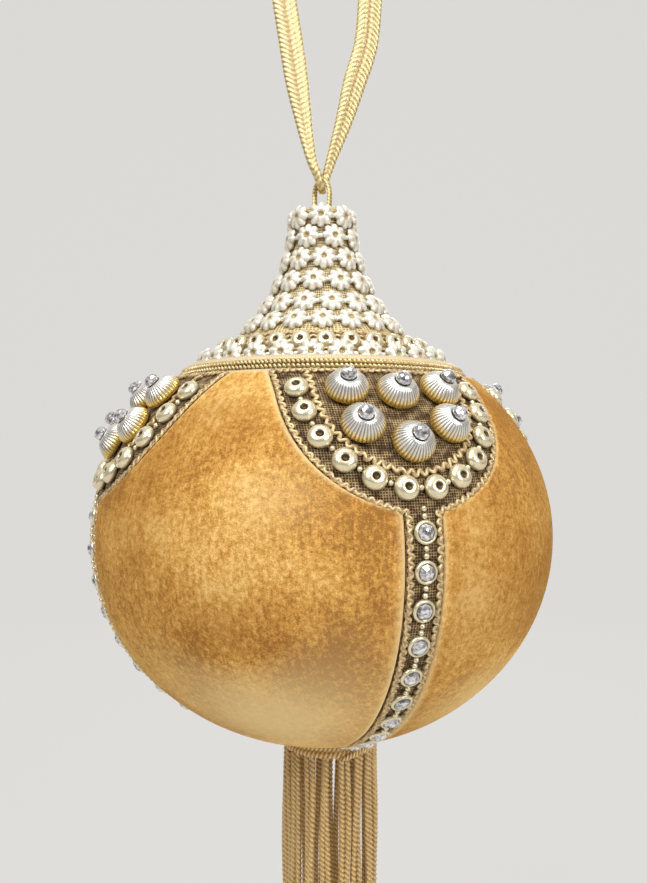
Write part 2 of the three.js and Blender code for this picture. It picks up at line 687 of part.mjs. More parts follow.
// Tassel: a rolled fringe heading that follows the ball's underside, and its twisted strands
const tassel = new THREE.Group();
tassel.position.set(tasselShift * Math.cos(degrees(viewAngle)), tasselShift * Math.sin(degrees(viewAngle)), 0);
bag.add(tassel);
const coverDepth = bandTop + cordThickness + seamGap;

function underBall(x, y) {
  const radius = Math.hypot(x, y);
  return -(ballHalfHeight + coverDepth) * Math.sqrt(1 - (radius / (ballRadius + coverDepth)) ** 2);
}

const headingFoot = underBall(0, 0) - tasselHeading;
const fringeTop = headingFoot - seamGap;

function headingRing(segments) {
  const rings = steps(0, segments, segments).slice(0, segments).map((i) => {
    const angle = (2 * Math.PI * i) / segments;
    const at = (radius, height) => new THREE.Vector3(radius * Math.sin(angle), -radius * Math.cos(angle), height);
    const topAt = (radius) => underBall(at(radius, 0).x + tassel.position.x, at(radius, 0).y + tassel.position.y);
    const inner = tasselRadius - tasselWall;
    return [
      at(inner, headingFoot), at(tasselRadius - 0.5, headingFoot), at(tasselRadius, headingFoot + 1),
      at(tasselRadius, topAt(tasselRadius) - 0.6), at(tasselRadius - 0.6, topAt(tasselRadius - 0.6) - 0.2),
      at(inner, topAt(inner) - 0.2),
    ];
  });
  return skinned(rings, true);
}

place('tassel_heading', headingRing(20), bullion, tassel);

// The strands hang from a tape behind the heading, each from the middle of its own stretch of
// tape. A strand is a twisted cord of three plies, so its section is a turning triangle.
const strandLevels = [0, 0.35, 0.7, 1]; // shares of its length
const strandPull = strandRadius * 1.3 + 0.3; // from the tassel's outside to a strand's middle
const tapeDrop = 1;

function strandPoints(number) {
  const angle = (2 * Math.PI * number) / strandCount;
  const outward = new THREE.Vector3(Math.sin(angle), -Math.cos(angle), 0);
  const across = new THREE.Vector3(Math.cos(angle), Math.sin(angle), 0);
  const sway = 0.5 * Math.sin(number * 2.4);
  const length = strandLength + 1.5 * Math.sin(number * 1.7);
  return strandLevels.flatMap((share, level) => [0, 1, 2].map((corner) => {
    const twist = (2 * Math.PI * corner) / 3 + level * (Math.PI / 3);
    const out = tasselRadius - strandPull + (sway * level) / strandLevels.length;
    return new THREE.Vector3(0, 0, fringeTop - tapeDrop - share * length)
      .addScaledVector(outward, out + strandRadius * Math.cos(twist))
      .addScaledVector(across, strandRadius * Math.sin(twist));
  }));
}

// The tape's section halfway between two strands: inside foot, outside foot, outside, inside
function tapePoints(number) {
  const angle = (2 * Math.PI * (number - 0.5)) / strandCount;
  const inner = tasselRadius - tasselWall + 0.6;
  const outer = tasselRadius - 0.4;
  const foot = fringeTop - tapeDrop;
  return [[inner, foot], [outer, foot], [outer, fringeTop], [inner, fringeTop]]
    .map(([radius, height]) => round(new THREE.Vector2(radius, height), angle));
}

function fringe() {
  const points = [];
  const index = [];
  const block = 4 + 3 * strandLevels.length; // points of one stretch of tape and its strand
  for (let i = 0; i < strandCount; i++) {
    points.push(...tapePoints(i), ...strandPoints(i));
    const [footIn, footOut, topOut, topIn] = [0, 1, 2, 3].map((k) => i * block + k);
    const [nextIn, nextOut, nextTopOut, nextTopIn] = [0, 1, 2, 3].map((k) => ((i + 1) % strandCount) * block + k);
    const root = i * block + 4; // the strand's corners: outside, then inside right and left
    index.push(
      footOut, nextOut, nextTopOut, footOut, nextTopOut, topOut,
      topOut, nextTopOut, nextTopIn, topOut, nextTopIn, topIn,
      footIn, topIn, nextTopIn, footIn, nextTopIn, nextIn,
      footOut, footIn, root + 2, footOut, root + 2, root,
      footIn, nextIn, root + 1, footIn, root + 1, root + 2,
      nextIn, nextOut, root + 1, nextOut, root, root + 1, nextOut, footOut, root,
    );
    strandLevels.slice(1).forEach((_, level) => {
      const above = root + 3 * level;
      const below = above + 3;
      for (let j = 0; j < 3; j++) {
        const k = (j + 1) % 3;
        index.push(below + j, below + k, above + k, below + j, above + k, above + j);
      }
    });
    const end = root + 3 * (strandLevels.length - 1);
    index.push(end, end + 2, end + 1);
  }
  const geometry = new THREE.BufferGeometry();
  geometry.setFromPoints(points);
  geometry.setIndex(index);
  return geometry;
}

place('tassel_fringe', fringe(), bullion, tassel);

// The strap's inside at its highest point is where the bag hangs, and is the origin.
const strapTop = Math.max(...strapCurve.getSpacedPoints(strapSteps * 4).map((point) => point.z));
bag.position.z = -(loopCrown + strapTop - strapThickness / 2);

const potliBag = new THREE.Group();
potliBag.add(bag);

export default potliBag;
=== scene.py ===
import bpy
import numpy as np
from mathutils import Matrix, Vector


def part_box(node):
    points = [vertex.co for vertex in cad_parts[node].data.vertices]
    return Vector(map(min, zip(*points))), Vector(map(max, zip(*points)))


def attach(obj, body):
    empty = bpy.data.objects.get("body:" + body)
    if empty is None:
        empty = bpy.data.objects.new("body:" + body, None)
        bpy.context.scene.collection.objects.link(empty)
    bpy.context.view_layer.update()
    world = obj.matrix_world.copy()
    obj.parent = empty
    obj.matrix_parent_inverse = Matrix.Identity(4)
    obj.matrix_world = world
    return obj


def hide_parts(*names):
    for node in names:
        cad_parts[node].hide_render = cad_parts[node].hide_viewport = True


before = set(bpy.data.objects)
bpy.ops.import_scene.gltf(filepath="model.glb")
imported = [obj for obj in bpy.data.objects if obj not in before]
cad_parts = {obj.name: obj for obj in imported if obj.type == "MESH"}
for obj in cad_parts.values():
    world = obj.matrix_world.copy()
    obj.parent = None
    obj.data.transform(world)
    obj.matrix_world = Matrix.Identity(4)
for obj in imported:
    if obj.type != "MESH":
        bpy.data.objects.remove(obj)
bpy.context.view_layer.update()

# The view: the bag hangs from a hook above the picture, in front of a pale wall, and is seen
# from level with the foot of its cap and a little to the left of the beaded band in front.
hang_drop = 0.2196826  # from where the strap hangs down to the middle of the ball
view_turn = np.radians(-20.4)
view_distance = 0.2648
view_height = 0.0295 - hang_drop

camera_data = bpy.data.cameras.new("camera")
camera_data.lens = 32.62
camera_data.shift_x = 0.0015
camera_data.clip_start = 0.01
camera = bpy.data.objects.new("camera", camera_data)
camera.location = (view_distance * np.sin(view_turn), -view_distance * np.cos(view_turn), view_height)
camera.rotation_euler = (np.pi / 2, 0, view_turn)
bpy.context.collection.objects.link(camera)
bpy.context.scene.camera = camera
bpy.context.scene.view_settings.view_transform = "Standard"


# The pale wall and the floor under it, one smooth sweep, well clear of the bag. Lit evenly for
# the eye and for reflections, with the bag's own soft shadow left on the floor.
class Nodes:
    """A node tree, with short ways to add nodes, to link them and to set their sockets."""

    def __init__(self, tree):
        self.tree = tree

    def feed(self, node, key, value):
        """Links an output to a socket, or gives the socket a plain value."""
        socket = node.inputs[key]
        if hasattr(value, "is_output"):
            self.tree.links.new(value, socket)
        elif socket.type == "RGBA":
            socket.default_value = (*value, 1)
        else:
            socket.default_value = value

    def node(self, kind, settings=None, numbered=None, **named):
        made = self.tree.nodes.new(kind)
        for key, value in (settings or {}).items():
            setattr(made, key, value)
        for key, value in (numbered or {}).items():
            self.feed(made, key, value)
        for key, value in named.items():
            self.feed(made, key.replace("_", " "), value)
        return made

    def calc(self, operation, *values, clamp=False):
        settings = {"operation": operation, "use_clamp": clamp}
        return self.node("ShaderNodeMath", settings, dict(enumerate(values))).outputs[0]

    def noise(self, vector, scale, detail=3.0, roughness=0.55):
        return self.node("ShaderNodeTexNoise", Vector=vector, Scale=scale, Detail=detail,
                         Roughness=roughness).outputs["Fac"]

    def stretched_noise(self, vector, scales, detail=3.0):
        mapped = self.node("ShaderNodeMapping", Vector=vector, Scale=scales)
        return self.noise(mapped.outputs[0], 1.0, detail)

    def ramp(self, value, *stops):
        made = self.node("ShaderNodeValToRGB", None, {0: value})
        elements = made.color_ramp.elements
        while len(elements) < len(stops):
            elements.new(0.5)
        for element, (place, colour) in zip(elements, stops):
            element.position = place
            element.color = (*colour, 1)
        return made.outputs["Color"]

    def mix(self, share, first, second):
        return self.node("ShaderNodeMix", {"data_type": "RGBA"}, {0: share, 6: first, 7: second}).outputs[2]

    def bump(self, height, distance, strength=1.0):
        made = self.node("ShaderNodeBump", Height=height, Distance=distance, Strength=strength)
        return made.outputs["Normal"]

    def attribute(self, name):
        return self.node("ShaderNodeAttribute", {"attribute_name": name}).outputs["Fac"]

    @property
    def place(self):
        return self.node("ShaderNodeTexCoord").outputs["Object"]

    @property
    def flat(self):
        return self.node("ShaderNodeUVMap", {"uv_map": "flat"}).outputs["UV"]


class Finish(Nodes):
    """A material: one shader, with what changes over the surface linked into it."""

    def __init__(self, name, **plain):
        self.material = bpy.data.materials.new(name)
        self.material.use_nodes = True
        super().__init__(self.material.node_tree)
        self.shader = self.tree.nodes["Principled BSDF"]
        self.set(**plain)

    def set(self, **sockets):
        for key, value in sockets.items():
            self.feed(self.shader, key.replace("_", " "), value)


def srgb(r, g, b):
    """A colour read off the bag, 0 to 255, as the linear values that nodes work in."""
    c = np.array([r, g, b]) / 255
    return tuple(np.where(c <= 0.04045, c / 12.92, ((c + 0.055) / 1.055) ** 2.4).tolist())


def grid_faces(rows, columns, closed_rows=False, closed_columns=False):
    """Corner numbers of the quads between neighbours on a grid, and the same on an unrolled grid."""
    i, j = np.meshgrid(np.arange(rows - (not closed_rows)), np.arange(columns - (not closed_columns)),
                       indexing="ij")
    corners = [(i, j), (i + 1, j), (i + 1, j + 1), (i, j + 1)]
    wide = columns + closed_columns
    quads = np.stack([(a % rows) * columns + b % columns for a, b in corners], -1).reshape(-1, 4)
    unrolled = np.stack([a * wide + b for a, b in corners], -1).reshape(-1, 4)
    return quads, unrolled


wall_grey, wall_glow = srgb(224, 222, 219), 0.93
sweep = Finish("pale_wall", Roughness=0.9, Base_Color=wall_grey)
ray = sweep.node("ShaderNodeLightPath").outputs
shown = sweep.calc("MAXIMUM", ray["Is Camera Ray"], ray["Is Glossy Ray"])
glow = sweep.node("ShaderNodeEmission", Color=wall_grey, Strength=1.0).outputs[0]
lit = sweep.node("ShaderNodeMixShader", None,
                 {0: sweep.calc("MULTIPLY", shown, wall_glow), 1: sweep.shader.outputs[0], 2: glow})
sweep.feed(sweep.tree.nodes["Material Output"], "Surface", lit.outputs[0])

floor_drop, floor_front, wall_distance, wall_bend, wall_top, wall_half = 0.47, -3.0, 1.6, 0.5, 2.6, 3.0
bend = np.linspace(0, np.pi / 2, 16)
sweep_y = np.concatenate([[floor_front], wall_distance - wall_bend * (1 - np.sin(bend)), [wall_distance]])
sweep_z = np.concatenate([[0.0], wall_bend * (1 - np.cos(bend)), [wall_top]]) - floor_drop
sweep_x = np.array([[-wall_half], [wall_half]])
sweep_points = np.stack(np.broadcast_arrays(sweep_x, sweep_y, sweep_z), -1)
turned_view = np.array([[np.cos(view_turn), np.sin(view_turn), 0],
                        [-np.sin(view_turn), np.cos(view_turn), 0], [0, 0, 1]])
sweep_mesh = bpy.data.meshes.new("pale_wall")
sweep_mesh.from_pydata((sweep_points @ turned_view).reshape(-1, 3), [],
                       grid_faces(2, len(sweep_y))[0][:, ::-1].tolist())
sweep_mesh.polygons.foreach_set("use_smooth", np.full(len(sweep_mesh.polygons), True))
sweep_mesh.materials.append(sweep.material)
sweep_wall = bpy.data.objects.new("pale_wall", sweep_mesh)
bpy.context.collection.objects.link(sweep_wall)


# The light: five soft square lamps round the bag, and a pale room that is dimmer towards the
# floor. Behind the camera the room is dark, which gives polished beads their dark middles.
def lamp(name, turn, height, distance, size, power):
    """A square soft lamp that faces the ball, placed by its turn from the camera's side."""
    light = bpy.data.lights.new(name, "AREA")
    light.shape = "SQUARE"
    light.size = size
    light.energy = power
    around = view_turn + np.radians(turn)
    made = bpy.data.objects.new(name, light)
    made.location = (np.sin(around) * distance, -np.cos(around) * distance, height - hang_drop)
    made.rotation_euler = (np.arctan2(distance, height), 0, around)
    bpy.context.collection.objects.link(made)


lamp("lamp_left", -30, 0.62, 0.7, 0.45, 4.6)
lamp("lamp_right", 40, 0.36, 0.8, 0.30, 3.4)
lamp("lamp_top", 0, 1.0, 0.30, 0.45, 4.0)
lamp("lamp_low", -10, -0.46, 0.8, 0.40, 11.0)
lamp("lamp_back", 172, 0.40, 0.9, 0.45, 2.4)

world = bpy.data.worlds.new("room")
world.use_nodes = True
bpy.context.scene.world = world
room = Nodes(world.node_tree)
room_way = room.node("ShaderNodeTexCoord").outputs["Generated"]
room_height = room.node("ShaderNodeSeparateXYZ", None, {0: room_way}).outputs["Z"]
room_shade = room.ramp(room_height, (0.0, srgb(120, 104, 84)), (0.75, srgb(255, 253, 250)))
room_facing = room.node("ShaderNodeVectorMath", {"operation": "DOT_PRODUCT"},
                        {0: room_way, 1: (np.sin(view_turn), -np.cos(view_turn), 0.0)})
room_dim = room.node("ShaderNodeMapRange", Value=room_facing.outputs["Value"], From_Min=0.72, From_Max=0.93,
                     To_Min=1.0, To_Max=0.1)
room_colour = room.node("ShaderNodeVectorMath", {"operation": "SCALE"}, {0: room_shade},
                        Scale=room_dim.outputs[0])
room_light = room.tree.nodes["Background"]
room.feed(room_light, "Color", room_colour.outputs[0])
room.feed(room_light, "Strength", 0.52)
# Seen past the wall's edges, from any other side, the room is the wall's own pale grey.
room_plain = room.node("ShaderNodeBackground", Color=wall_grey)
room_ray = room.node("ShaderNodeLightPath").outputs["Is Camera Ray"]
room_either = room.node("ShaderNodeMixShader", None,
                        {0: room_ray, 1: room_light.outputs[0], 2: room_plain.outputs[0]})
room.feed(room.tree.nodes["World Output"], "Surface", room_either.outputs[0])


# The hand strap: a flat braid of metallic thread 8 mm wide, one closed ring that passes under
# the small loop on top of the cap, where it is gathered, and hangs over a hook or a wrist.
strap_width, strap_thickness, strap_gathered, strap_gather_length = 0.008, 0.003, 0.0026, 0.046
plait_pitch, plait_slant = 0.00165, 0.0022
loop_crown_height = 0.1159604  # top of the small loop, above the middle of the ball
strap_route = np.array([
    [0, 0, -3.3], [-0.4, 1.9, -2.3], [-1.4, 2.9, 0.5], [-3.2, 2.8, 4.9], [-5.0, 2.2, 12.7],
    [-6.4, 1.7, 20.6], [-7.8, 1.3, 28.6], [-10.2, 0.6, 44.6], [-12.7, 0.2, 60.7], [-14.4, 0, 74.1],
    [-14.2, 0, 86.1], [-10.6, 0, 97.1], [-4.0, 0, 104.3], [4.0, 0, 104.7], [11.2, 0, 98.7],
    [15.4, 0, 88.1], [16.4, 0, 75.1], [15.9, 0, 60.7], [14.4, -0.4, 44.6], [10.6, -0.9, 32.1],
    [7.4, -1.5, 20.6], [4.8, -2.1, 12.7], [2.2, -2.8, 4.9], [0.9, -2.9, 0.5], [0.3, -1.9, -2.3]]) / 1000


def piece(name, points, material, body, slot, ring=False, uv=None, replaces=None, smooth=True, **attributes):
    """A piece made of one or more grids of points (..., rows, columns, 3), with quads between them.

    The columns close into a ring. The rows do so too if ring is set, and else the first and the
    last row are shut with a face each. uv has one pair for each point of the unrolled grid.
    """
    rows, columns = points.shape[-3:-1]
    grids = points.reshape(-1, rows * columns, 3)
    quads, unrolled = grid_faces(rows, columns, ring, True)
    starts = np.arange(len(grids))[:, None, None] * rows * columns
    faces = (quads + starts).reshape(-1, 4).tolist()
    if not ring:
        steps = np.arange(columns)
        ends = np.stack([steps, (rows - 1) * columns + steps[::-1]])
        faces += (ends + starts).reshape(-1, columns).tolist()
    mesh = bpy.data.meshes.new(name)
    mesh.from_pydata(grids.reshape(-1, 3), [], faces)
    if uv is not None:
        wide = (rows + ring) * (columns + 1)
        uv = np.broadcast_to(uv.reshape(-1, wide, 2), (len(grids), wide, 2))
        loops = uv[:, unrolled.reshape(-1)].reshape(-1, 2)
        rest = np.zeros((len(mesh.loops) - len(loops), 2))
        mesh.uv_layers.new(name="flat").data.foreach_set("uv", np.vstack([loops, rest]).ravel())
    for label, values in attributes.items():
        values = np.broadcast_to(values, points.shape[:-1]).astype(np.float32)
        mesh.attributes.new(label, "FLOAT", "POINT").data.foreach_set("value", values.ravel())
    mesh.polygons.foreach_set("use_smooth", np.full(len(mesh.polygons), smooth))
    mesh.materials.append(material)
    mesh.update()
    made = bpy.data.objects.new(name, mesh)
    bpy.context.collection.objects.link(made)
    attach(made, body)
    if replaces:
        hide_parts(replaces)
    return made


def unit(vectors):
    """The same directions with length one."""
    return vectors / np.linalg.norm(vectors, axis=-1, keepdims=True)


def smoothstep(x, low, high):
    """0 below low, 1 above high, and an S curve of t*t*(3 - 2t) between them."""
    t = np.clip((x - low) / (high - low), 0, 1)
    return t * t * (3 - 2 * t)


def full_round(count):
    """Even steps round a full turn, from 0 up to the step before 2 pi."""
    return np.linspace(0, 2 * np.pi, count, endpoint=False)


def run_along(points):
    """Distance along a broken line at each of its points."""
    return np.concatenate([[0], np.cumsum(np.linalg.norm(np.diff(points, axis=0), axis=1))])


def evenly(points, pitch=None, count=None):
    """Points at even steps along a broken line, with the line's length."""
    run = run_along(points)
    count = count or int(round(run[-1] / pitch)) + 1
    at = np.linspace(0, run[-1], count)
    return np.stack([np.interp(at, run, points[:, k]) for k in range(points.shape[1])], -1), run[-1]


def curve_through(points, count, closed=False):
    """count points at even steps on a centripetal spline through the given ones.

    Between two points it blends straight lines by the square roots of the distances, which
    is the Barry and Goldman form of the Catmull-Rom curve.
    """
    if closed:
        p = np.vstack([points[-1:], points, points[:2]])
    else:
        p = np.vstack([2 * points[:1] - points[1:2], points, 2 * points[-1:] - points[-2:-1]])
    knots = np.concatenate([[0], np.cumsum(np.sqrt(np.linalg.norm(np.diff(p, axis=0), axis=1)))])
    spans = len(p) - 3
    share = np.linspace(0, 1, 24, endpoint=False)
    t0, t1, t2, t3 = (knots[k:k + spans, None, None] for k in range(4))
    p0, p1, p2, p3 = (p[k:k + spans, None, :] for k in range(4))
    t = t1 + (t2 - t1) * share[None, :, None]
    a1 = ((t1 - t) * p0 + (t - t0) * p1) / (t1 - t0)
    a2 = ((t2 - t) * p1 + (t - t1) * p2) / (t2 - t1)
    a3 = ((t3 - t) * p2 + (t - t2) * p3) / (t3 - t2)
    b1 = ((t2 - t) * a1 + (t - t0) * a2) / (t2 - t0)
    b2 = ((t3 - t) * a2 + (t - t1) * a3) / (t3 - t1)
    dense = (((t2 - t) * b1 + (t - t1) * b2) / (t2 - t1)).reshape(-1, points.shape[1])
    dense = np.vstack([dense, points[:1] if closed else points[-1:]])
    even, length = evenly(dense, count=count + 1 if closed else count)
    return (even[:-1] if closed else even), length


def sides_of(path, facing, closed=False):
    """Sideways and outward directions at each point of a path that faces a given way."""
    if closed:
        forward = np.roll(path, -1, 0) - np.roll(path, 1, 0)
    else:
        forward = np.gradient(path, axis=0)
    forward = unit(forward)
    across = unit(np.cross(forward, facing))
    return across, np.cross(across, forward)


def section_along(path, sides, wide, tall):
    """A section carried along a path: at each point, wide goes sideways and tall outwards."""
    across, up = sides
    return path[:, None] + across[:, None] * wide[..., None] + up[:, None] * tall[..., None]


def squarish(wave):
    """A sine or cosine with fuller shoulders: sign(x) * abs(x) ** 0.8."""
    return np.sign(wave) * np.abs(wave) ** 0.8


strap_points, strap_length = curve_through(strap_route, 760, closed=True)
strap_path = strap_points * [1, -1, 1] @ turned_view + [0, 0, loop_crown_height - hang_drop]
strap_run = np.arange(len(strap_path)) / len(strap_path) * strap_length
strap_open = smoothstep(np.minimum(strap_run, strap_length - strap_run), 0, strap_gather_length)[:, None]
# The braid lies flat over the hook and under the loop, and stands on edge between them.
over_hook = smoothstep(strap_points[:, 2], 0.060, 0.096)
under_loop = 1 - smoothstep(strap_points[:, 2], -0.003, 0.008)
lies_flat = np.maximum(over_hook, under_loop)[:, None]
from_middle = unit(strap_points * [1, 0, 1] - [0.0008, 0, 0.078])
strap_facing = unit((1 - lies_flat) * [0, 1, 0] + lies_flat * from_middle) * [1, -1, 1] @ turned_view
strap_turns = full_round(40)
half_width = (strap_gathered + (strap_width - strap_gathered) * strap_open) / 2
half_height = (strap_gathered + (strap_thickness - strap_gathered) * strap_open) / 2
flatness = squarish(np.cos(strap_turns))
groove = 1 - 0.30 * strap_open * np.exp(-(flatness / 0.16) ** 2)
slant = 2 * np.pi * (strap_run[:, None] / plait_pitch - np.abs(flatness) * half_width / plait_slant)
ridge = 1 + 0.12 * strap_open * np.cos(slant)
strap_grid = section_along(strap_path, sides_of(strap_path, strap_facing, closed=True),
                           flatness * half_width * (0.97 + 0.03 * ridge),
                           squarish(np.sin(strap_turns)) * half_height * groove * ridge)

braid = Finish("metallic_braid", Roughness=0.42, Metallic=0.55)
braid_grain = braid.noise(braid.place, 900.0)
# The plait attribute paints shade down the braid's middle groove and between its slanting plaits, and light on
# their ridges.
braid_colour = braid.mix(braid.attribute("plait"), srgb(150, 108, 44), srgb(246, 228, 160))
braid_colour = braid.mix(braid.calc("MULTIPLY", braid_grain, 0.45), braid_colour, srgb(252, 242, 200))
braid.set(Base_Color=braid_colour, Normal=braid.bump(braid_grain, 0.0002, 0.6))
strap = piece("hand_strap_braid", strap_grid, braid.material, "lid", "metallic_braid", ring=True,
              replaces="hand_strap", plait=np.clip(0.5 + 0.5 * np.cos(slant) - 2.475 * (1 - groove), 0, 1))


# The ball: a stiff moulded shell, open at the top, that every cover is stretched over. Only its
# rim shows, and only when the cap is open. The satin lining inside it is glued in, with soft gathers.
ball_radius, ball_half_height, mouth_radius = 0.0714, 0.0643, 0.0472
zip_lean, zip_above, zip_below = np.radians(55), 0.0028, 0.0032
mouth_height = ball_half_height * np.sqrt(1 - (mouth_radius / ball_radius) ** 2)
ball_bends = np.linspace(np.arctan2(mouth_height / ball_half_height, mouth_radius / ball_radius),
                         -np.pi / 2, 3000)
ball_runs = zip_below + run_along(np.stack([ball_radius * np.cos(ball_bends),
                                            ball_half_height * np.sin(ball_bends)], -1))
ball_end = ball_runs[-1]


def ball_outline(along, out=0.0):
    """Radius and height of the ball's outline: a straight zip band, then an ellipse.

    along runs down the outline from the middle of the zip teeth, and out is the distance off
    it along its normal. On the band the point is the mouth's edge less the slope times what is
    left; on the ellipse it is (a cos t, b sin t), with t found from the arc's length.
    """
    along, out = np.broadcast_arrays(along, out)
    t = np.interp(along, ball_runs, ball_bends)
    on_band = along < zip_below
    left = along - zip_below
    radius = np.where(on_band, mouth_radius + left * np.cos(zip_lean), ball_radius * np.cos(t))
    height = np.where(on_band, mouth_height - left * np.sin(zip_lean), ball_half_height * np.sin(t))
    lean = np.arctan2(ball_radius * np.sin(t), ball_half_height * np.cos(t))
    lean = np.where(on_band, np.pi / 2 - zip_lean, lean)
    return radius + out * np.cos(lean), height + out * np.sin(lean)


def round_axis(radius, height, angle):
    """Points at a radius and height, turned about the bag's axis from the front towards +X."""
    return np.stack(np.broadcast_arrays(radius * np.sin(angle), -radius * np.cos(angle),
                                        height - hang_drop), -1)


def on_ball(angle, along, out=0.0):
    """Points on the ball at an angle from the front and a distance along its outline."""
    return round_axis(*ball_outline(along, out), angle)


def finish_solids(material, *names):
    """Gives solids that show as they are, such as a shell's rim, their material."""
    for name in names:
        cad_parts[name].data.materials.clear()
        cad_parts[name].data.materials.append(material)


board = Finish("moulded_board", Roughness=0.85)
board_fibres = board.noise(board.place, 700.0, 4.0)
board.set(Base_Color=board.ramp(board_fibres, (0.35, srgb(196, 186, 165)), (0.7, srgb(222, 214, 196))),
          Normal=board.bump(board_fibres, 0.0002, 0.5))
finish_solids(board.material, "ball_shell", "cap_shell")

lining_out, lining_thickness, lining_gather = -0.0030, 0.0003, 0.00022
lining_runs = np.concatenate([np.linspace(0.0034, 0.012, 10), np.linspace(0.016, ball_end - 0.0006, 70)])
lining_angles = full_round(240)
gathers = lining_gather * np.sin(32 * lining_angles + 1.2 * np.sin(3 * lining_angles))
gather_share = (lining_runs - lining_runs[0]) / (lining_runs[-1] - lining_runs[0])
lining_deep = lining_out - 0.0002 + gathers * np.sin(np.pi * gather_share)[:, None] ** 0.5
satin = Finish("satin_lining", Roughness=0.33, Sheen_Weight=0.4, Sheen_Roughness=0.3)
satin_threads = satin.stretched_noise(satin.place, (400, 400, 2600))
satin.set(Base_Color=satin.ramp(satin_threads, (0.3, srgb(196, 156, 88)), (0.75, srgb(226, 192, 126))),
          Normal=satin.bump(satin_threads, 0.0001, 0.35))
lining_faces = [on_ball(lining_angles, lining_runs[:, None], deep)
                for deep in (lining_deep, lining_deep - lining_thickness)]
lining = piece("ball_lining_satin", np.concatenate([lining_faces[0], lining_faces[1][::-1]]), satin.material,
               "pouch", "satin_lining", ring=True, replaces="ball_lining")


# Four velvet panels, cut like the peel of an orange between the beaded bands and stretched over
# the shell, with edges turned under along the bands. Short pile, brushed to and fro by handling.
band_count = 4
medallion_half_width, medallion_straight, medallion_length = 0.0316, 0.0114, 0.0444
medallion_flare, medallion_round = 2.5, 1.7
strip_half_width, strip_foot_half_width, outline_blend = 0.0049, 0.0035, 0.0016
panel_rise, velvet_thickness, band_cloth_thickness, seam_gap = 0.00075, 0.0012, 0.0005, 0.0003
band_length = ball_end - zip_below
cover_top, cover_foot = 0.0005, band_length - 0.006
band_turns = 2 * np.pi * np.arange(band_count) / band_count
panel_turn = 2 * np.pi / band_count


def medallion_edge(down, inset=0.0):
    """Half width of the medallion: straight sides, then (1 - s**flare) ** (1 / round) to its foot."""
    length = medallion_length - inset
    s = np.clip((down - medallion_straight) / (length - medallion_straight), 0, 1)
    return (medallion_half_width - inset) * (1 - s ** medallion_flare) ** (1 / medallion_round)


def band_edge(down):
    """Half width of a beaded band: the wider of medallion and strip, rounded where they meet."""
    strip = strip_half_width + (strip_foot_half_width - strip_half_width) * smoothstep(
        down, medallion_length, band_length)
    wide = medallion_edge(down)
    return (wide + strip + np.hypot(wide - strip, outline_blend)) / 2


def shut_wall(face, wall, flat):
    """A cloth's face and the wall behind it as one closed round, with the flat places of both."""
    return (np.concatenate([face, wall[:, ::-1]], 1),
            np.concatenate([flat, flat[:, ::-1], flat[:, :1]], 1))


velvet = Finish("gold_velvet", Roughness=0.9, Sheen_Weight=0.22, Sheen_Roughness=0.35,
                Sheen_Tint=srgb(255, 216, 130), Specular_IOR_Level=0.1)
velvet_place = velvet.place
brushed = velvet.noise(velvet_place, 30.0, 3.0, 0.6)
mottled = velvet.noise(velvet_place, 650.0, 6.0, 0.85)
pile_lines = velvet.stretched_noise(velvet.flat, (1300, 90, 1), 2.0)
pile = velvet.noise(velvet_place, 2600.0, 2.0)
lay_of_pile = velvet.calc("MULTIPLY_ADD", mottled, 0.55, velvet.calc("MULTIPLY", brushed, 0.36))
lay_of_pile = velvet.calc("MULTIPLY_ADD", pile_lines, 0.09, lay_of_pile)
velvet_colour = velvet.ramp(lay_of_pile, (0.43, srgb(140, 86, 26)), (0.475, srgb(184, 127, 50)),
                            (0.525, srgb(208, 155, 74)), (0.59, srgb(236, 196, 124)))
velvet_colour = velvet.mix(velvet.calc("MULTIPLY", pile, 0.24), velvet_colour, srgb(232, 196, 128))
# Painted light and shade: a painted highlight on the turned edges and in patches where the lamps fall,
# most under the belly, and painted shade in other patches and over every other panel.
velvet_lay = velvet.attribute("lay")
velvet_colour = velvet.mix(velvet.calc("MAXIMUM", velvet_lay, 0.0), velvet_colour, srgb(240, 212, 154))
velvet_painted_shade = velvet.calc("MAXIMUM", velvet.calc("MULTIPLY", velvet_lay, -1.0), 0.0)
velvet_colour = velvet.mix(velvet_painted_shade, velvet_colour, srgb(150, 96, 32))
velvet.set(Base_Color=velvet_colour, Normal=velvet.bump(pile, 0.0004, 0.7))

# Painted light and shade in patches, light where the strength is above nought and shade where it is below,
# as (down, turn within the panel, height, width in turn, strength).
painted_light_patches = [(0.104, 0.98, 0.022, 0.50, 0.85), (0.040, 1.06, 0.008, 0.16, 0.22),
                 (0.075, 0.88, 0.011, 0.20, -0.4), (0.040, 0.45, 0.024, 0.22, -0.35),
                 (0.018, 0.80, 0.008, 0.30, -0.35)]
roll_radius, edge_shine, edge_shine_width, side_shade = 0.0013, 0.9, 0.0014, 0.3
pucker_down, pucker_spread, pucker_depth = 0.0505, 0.011, 0.00042
roll = roll_radius * (1 - np.cos(np.linspace(0, np.pi / 2, 7)))
velvet_downs = np.concatenate([cover_top + roll, np.linspace(cover_top + roll_radius, 0.052, 62)[1:],
                               np.linspace(0.052, cover_foot, 78)[1:]])


def rolled(distance):
    """Drop of a turned edge below the cloth: a quarter circle over the last roll_radius."""
    inner = np.clip(1 - distance / roll_radius, 0, 1)
    return roll_radius * 0.92 * (1 - np.sqrt(1 - inner ** 2))


def pucker(side, down, strength):
    """Small folds that fan out where the cloth is pulled round the medallion's foot: a sine in bells."""
    bell = np.exp(-(side / pucker_spread) ** 2 - ((down - pucker_down) / pucker_spread) ** 2)
    folds = np.sin((down - 0.046) / 0.00165 - side / 0.0035)
    return strength * bell * folds * smoothstep(side, 0.0003, 0.004)


